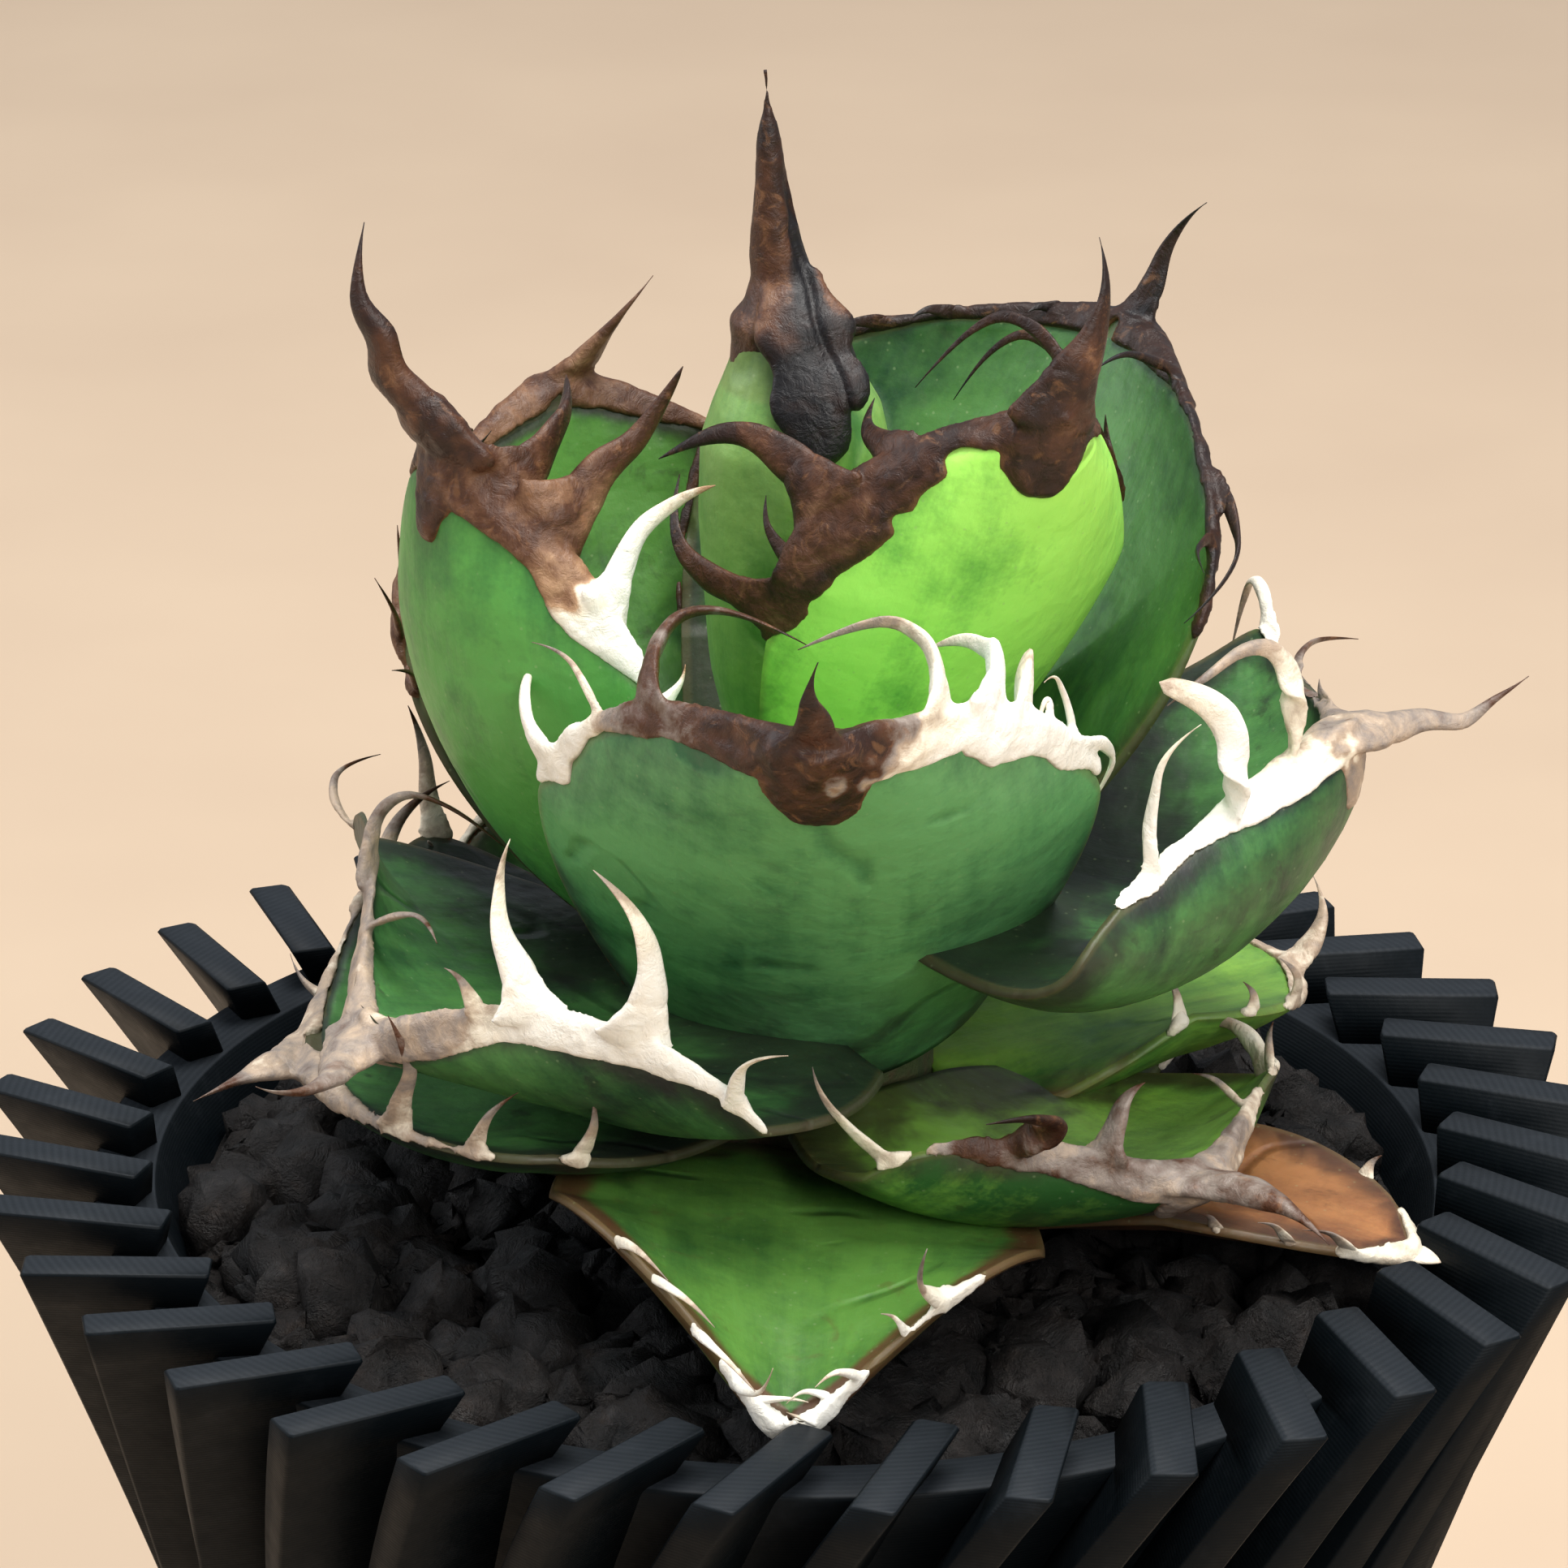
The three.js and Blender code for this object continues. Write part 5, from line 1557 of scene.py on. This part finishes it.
@dataclass
class Gravel:
    """Broken lava that fills the cup.

    Attributes:
        top: Height of the bed under the rim.
        reach: Radius of the bed at its top.
        stones: How many loose stones lie on it.
        sizes: Radius of the smallest and of the largest stone.
    """

    top: float = 6.5
    reach: float = 42.6
    stones: int = 1150
    sizes: tuple[float, float] = (0.9, 3.7)

    def bed(self, pot: Pot) -> Shell:
        """Returns the rough body of fine gravel under the stones."""
        count, side = 46, 120
        radius = np.linspace(0.05, self.reach, count)
        turn = np.linspace(0, 2 * np.pi, side, endpoint=False)
        x, y = radius[:, None] * np.cos(turn), radius[:, None] * np.sin(turn)
        flat = np.stack([x.ravel(), y.ravel(), 0 * x.ravel()], -1)
        lumps = 0.5 * noise(flat, 5, 3) + 0.4 * noise(flat, 2.4, 4)
        height = POT_HEIGHT - self.top - 1.2 + lumps.reshape(x.shape)
        rings = np.stack([x, y, height], -1)
        walls = []
        for z in np.linspace(POT_HEIGHT - self.top - 4, pot.floor + 0.4, 12):
            wall = pot.rim(z) - pot.inset - pot.wall - 0.6
            walls.append(np.stack([wall * np.cos(turn), wall * np.sin(turn), np.full(side, z)], -1))
        return lofted(np.concatenate([rings, np.array(walls)]), {})

    def scattered(self, leaves: list[Leaf]) -> tuple[Array, Array, Array]:
        """Places the stones, clear of the leaves that lie on the gravel.

        Args:
            leaves: The leaves.

        Returns:
            The places, radii and turns of the stones.
        """
        random = np.random.default_rng(4127)
        tree_points = []
        for leaf in leaves:
            t, s = np.meshgrid(np.linspace(0, 1, 40), np.linspace(-1, 1, 24), indexing="ij")
            tree_points.append(leaf.surface(t, s, 0.0)[0] + ROSETTE)
        cloud = np.concatenate(tree_points)
        cloud = cloud[cloud[:, 2] < POT_HEIGHT + 3]
        tree = kdtree.KDTree(len(cloud))
        for i, point in enumerate(cloud):
            tree.insert(point, i)
        tree.balance()
        small, large = self.sizes
        size = lerp(small, large, random.random(self.stones) ** 1.7)
        radius = np.sqrt(random.random(self.stones)) * (self.reach - size * 0.9)
        turn = random.random(self.stones) * 2 * np.pi
        height = POT_HEIGHT - self.top - 0.9 + size * (0.1 + 0.5 * random.random(self.stones))
        places = np.stack([radius * np.cos(turn), radius * np.sin(turn), height], -1)
        turns = random.random((self.stones, 3)) * 2 * np.pi
        clear = np.array([tree.find(place)[2] > each * 0.8 + 0.5 for place, each in zip(places, size)])
        return places[clear], size[clear], turns[clear]

    def stones_mesh(self, leaves: list[Leaf], material: bpy.types.Material) -> bpy.types.Mesh:
        """Lays the stones with Geometry Nodes and gives each its own broken shape.

        Args:
            leaves: The leaves that they keep clear of.
            material: Their material.

        Returns:
            All stones in one mesh.
        """
        places, size, turns = self.scattered(leaves)
        mesh = bpy.data.meshes.new("stone_places")
        mesh.from_pydata((places * MM).tolist(), [], [])
        for name, kind, rows in (("size", "FLOAT", size * MM), ("turn", "FLOAT_VECTOR", turns)):
            layer = mesh.attributes.new(name, kind, "POINT")
            layer.data.foreach_set("value" if kind == "FLOAT" else "vector", rows.astype(np.float32).ravel())
        tree = NodeTree("lava_stones", [("Breakage", "Float", 0.9), ("Lump Size", "Float", 2.6 * MM)])
        read = {}
        for name, kind in (("size", "FLOAT"), ("turn", "FLOAT_VECTOR")):
            read[name] = tree.node("InputNamedAttribute")
            read[name].data_type = kind
            read[name].inputs["Name"].default_value = name
        ball = tree.node("MeshIcoSphere", Radius=1.0, Subdivisions=2)
        stones = tree.node("InstanceOnPoints", Points=tree.start.outputs["Geometry"],
                           Instance=ball.outputs["Mesh"], Rotation=read["turn"].outputs[0],
                           Scale=read["size"].outputs[0])
        real = tree.node("RealizeInstances", Geometry=stones.outputs[0])
        place = tree.node("InputPosition")
        scaled = tree.node("VectorMath", "DIVIDE", i0=place.outputs[0], i1=tree.start.outputs["Lump Size"])
        lumps = tree.node("TexNoise", Vector=scaled.outputs[0], Scale=1.0, Detail=2.0)
        centred = tree.node("VectorMath", "SUBTRACT", i0=lumps.outputs["Color"], i1=(0.5, 0.5, 0.5))
        depth = tree.node("Math", "MULTIPLY", i0=tree.start.outputs["Breakage"], i1=0.0075)
        push = tree.node("VectorMath", "SCALE", i0=centred.outputs[0], Scale=depth.outputs[0])
        broken = tree.node("SetPosition", Geometry=real.outputs[0], Offset=push.outputs[0])
        return tree.applied("gravel_stones", mesh, broken.outputs[0], material)

    def build(self, pot: Pot, leaves: list[Leaf]) -> None:
        """Makes the bed and the stones."""
        lava = Lava().material("lava")
        placed("gravel_bed", as_mesh("gravel_bed", self.bed(pot)), lava, ["gravel"])
        placed("gravel_stones", self.stones_mesh(leaves, lava), lava, ["gravel"])


# Studio


@dataclass
class Studio:
    """The pale floor, the soft lights and the camera.

    Attributes:
        elevation: How far the camera looks down.
        distance: How far it is from what it looks at.
        target: What it looks at.
        lens: Focal length on a sensor 36 wide.
        roll: Turn about its own axis.
        lights: Name, place in metres, power in watts and colour of each softbox.
        box: Length of a softbox's side in metres.
        lit: What the softboxes face, in metres.
        sky: Colour of the light from all round.
        sky_strength: Its strength.
        plaster: The two colours of the floor.
        ground: Corners of the floor, in metres.
    """

    elevation: float = 22.379
    distance: float = 437.654
    target: tuple[float, float, float] = (-1.047, 0.0, 114.949)
    lens: float = 148.78
    roll: float = 0.651
    lights: tuple[tuple[str, tuple[float, float, float], float, Colour], ...] = (
        ("sky_light", (0.10, -0.05, 1.1), 15.0, (1.0, 0.98, 0.95)),
        ("front_light", (0.45, -0.9, 0.75), 9.0, (1.0, 0.97, 0.92)),
        ("left_light", (-0.9, 0.15, 0.6), 4.5, (0.92, 0.96, 1.0)),
    )
    box: float = 0.6
    lit: tuple[float, float, float] = (0.0, 0.0, 0.12)
    sky: Colour = (0.82, 0.90, 1.0)
    sky_strength: float = 0.42
    plaster: tuple[Colour, Colour] = ((0.50, 0.37, 0.26), (0.58, 0.44, 0.31))
    ground: tuple[tuple[float, float, float], ...] = ((-4, -3, 0), (4, -3, 0), (4, 6, 0), (-4, 6, 0))

    def camera(self) -> None:
        """Stands the camera where the photograph was taken from."""
        up_angle, roll = math.radians(self.elevation), math.radians(self.roll)
        back = Vector((0, -math.cos(up_angle), math.sin(up_angle)))
        right = Vector((1, 0, 0))
        up = Vector((0, math.sin(up_angle), math.cos(up_angle)))
        right, up = right * math.cos(roll) + up * math.sin(roll), up * math.cos(roll) - right * math.sin(roll)
        data = bpy.data.cameras.new("camera")
        data.sensor_width = 36
        data.lens = self.lens
        data.clip_start, data.clip_end = 0.01, 20
        camera = bpy.data.objects.new("camera", data)
        bpy.context.scene.collection.objects.link(camera)
        place = (Vector(self.target) + back * self.distance) * MM
        camera.matrix_world = Matrix.Translation(place) @ Matrix((right, up, back)).transposed().to_4x4()
        bpy.context.scene.camera = camera

    def softbox(self, name: str, place: tuple[float, float, float], power: float, colour: Colour) -> None:
        """Hangs a square light that faces the plant.

        Args:
            name: Its name.
            place: Where it hangs, in metres.
            power: Its power in watts.
            colour: Its colour.
        """
        data = bpy.data.lights.new(name, "AREA")
        data.size = self.box
        data.energy = power
        data.color = colour
        light = bpy.data.objects.new(name, data)
        light.location = place
        light.rotation_mode = "QUATERNION"
        light.rotation_quaternion = (Vector(self.lit) - Vector(place)).to_track_quat("-Z", "Y")
        bpy.context.scene.collection.objects.link(light)

    def floor(self) -> None:
        """Lays a wide floor of pale plaster."""
        recipe = Recipe("pale_floor")
        colour = recipe.mixed(recipe.cloud(60, 3, 0.5), *self.plaster)
        mesh = bpy.data.meshes.new("floor")
        mesh.from_pydata(self.ground, [], [(0, 1, 2, 3)])
        mesh.materials.append(recipe.finished(colour, 0.6))
        floor = bpy.data.objects.new("floor", mesh)
        bpy.context.scene.collection.objects.link(floor)

    def build(self) -> None:
        """Makes the floor, the lights and the camera."""
        self.floor()
        self.camera()
        world = bpy.data.worlds.new("studio")
        world.use_nodes = True
        background = world.node_tree.nodes["Background"]
        background.inputs["Color"].default_value = (*self.sky, 1)
        background.inputs["Strength"].default_value = self.sky_strength
        bpy.context.scene.world = world
        for light in self.lights:
            self.softbox(*light)
        bpy.context.scene.view_settings.view_transform = "Standard"
        bpy.context.scene.view_settings.look = "None"


def main() -> None:
    """Builds the plant, its pot and the studio."""
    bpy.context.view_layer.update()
    horns = {
        "white_horn": Horn().material("white_horn"),
        "brown_horn": Horn(tan=(0.42, 0.25, 0.14), grey=(0.20, 0.10, 0.052)).material("brown_horn"),
    }
    for leaf in LEAVES:
        leaf.build(horns)
    Bud().build(horns["brown_horn"])
    stem = frame["nodes"]["stem"]
    stem.data.materials.clear()
    stem.data.materials.append(Cork().material("cork"))
    pot = Pot()
    pot.build()
    Gravel().build(pot, LEAVES)
    Studio().build()
    log.info("sizes written")


if __name__ == "__main__":
    main()
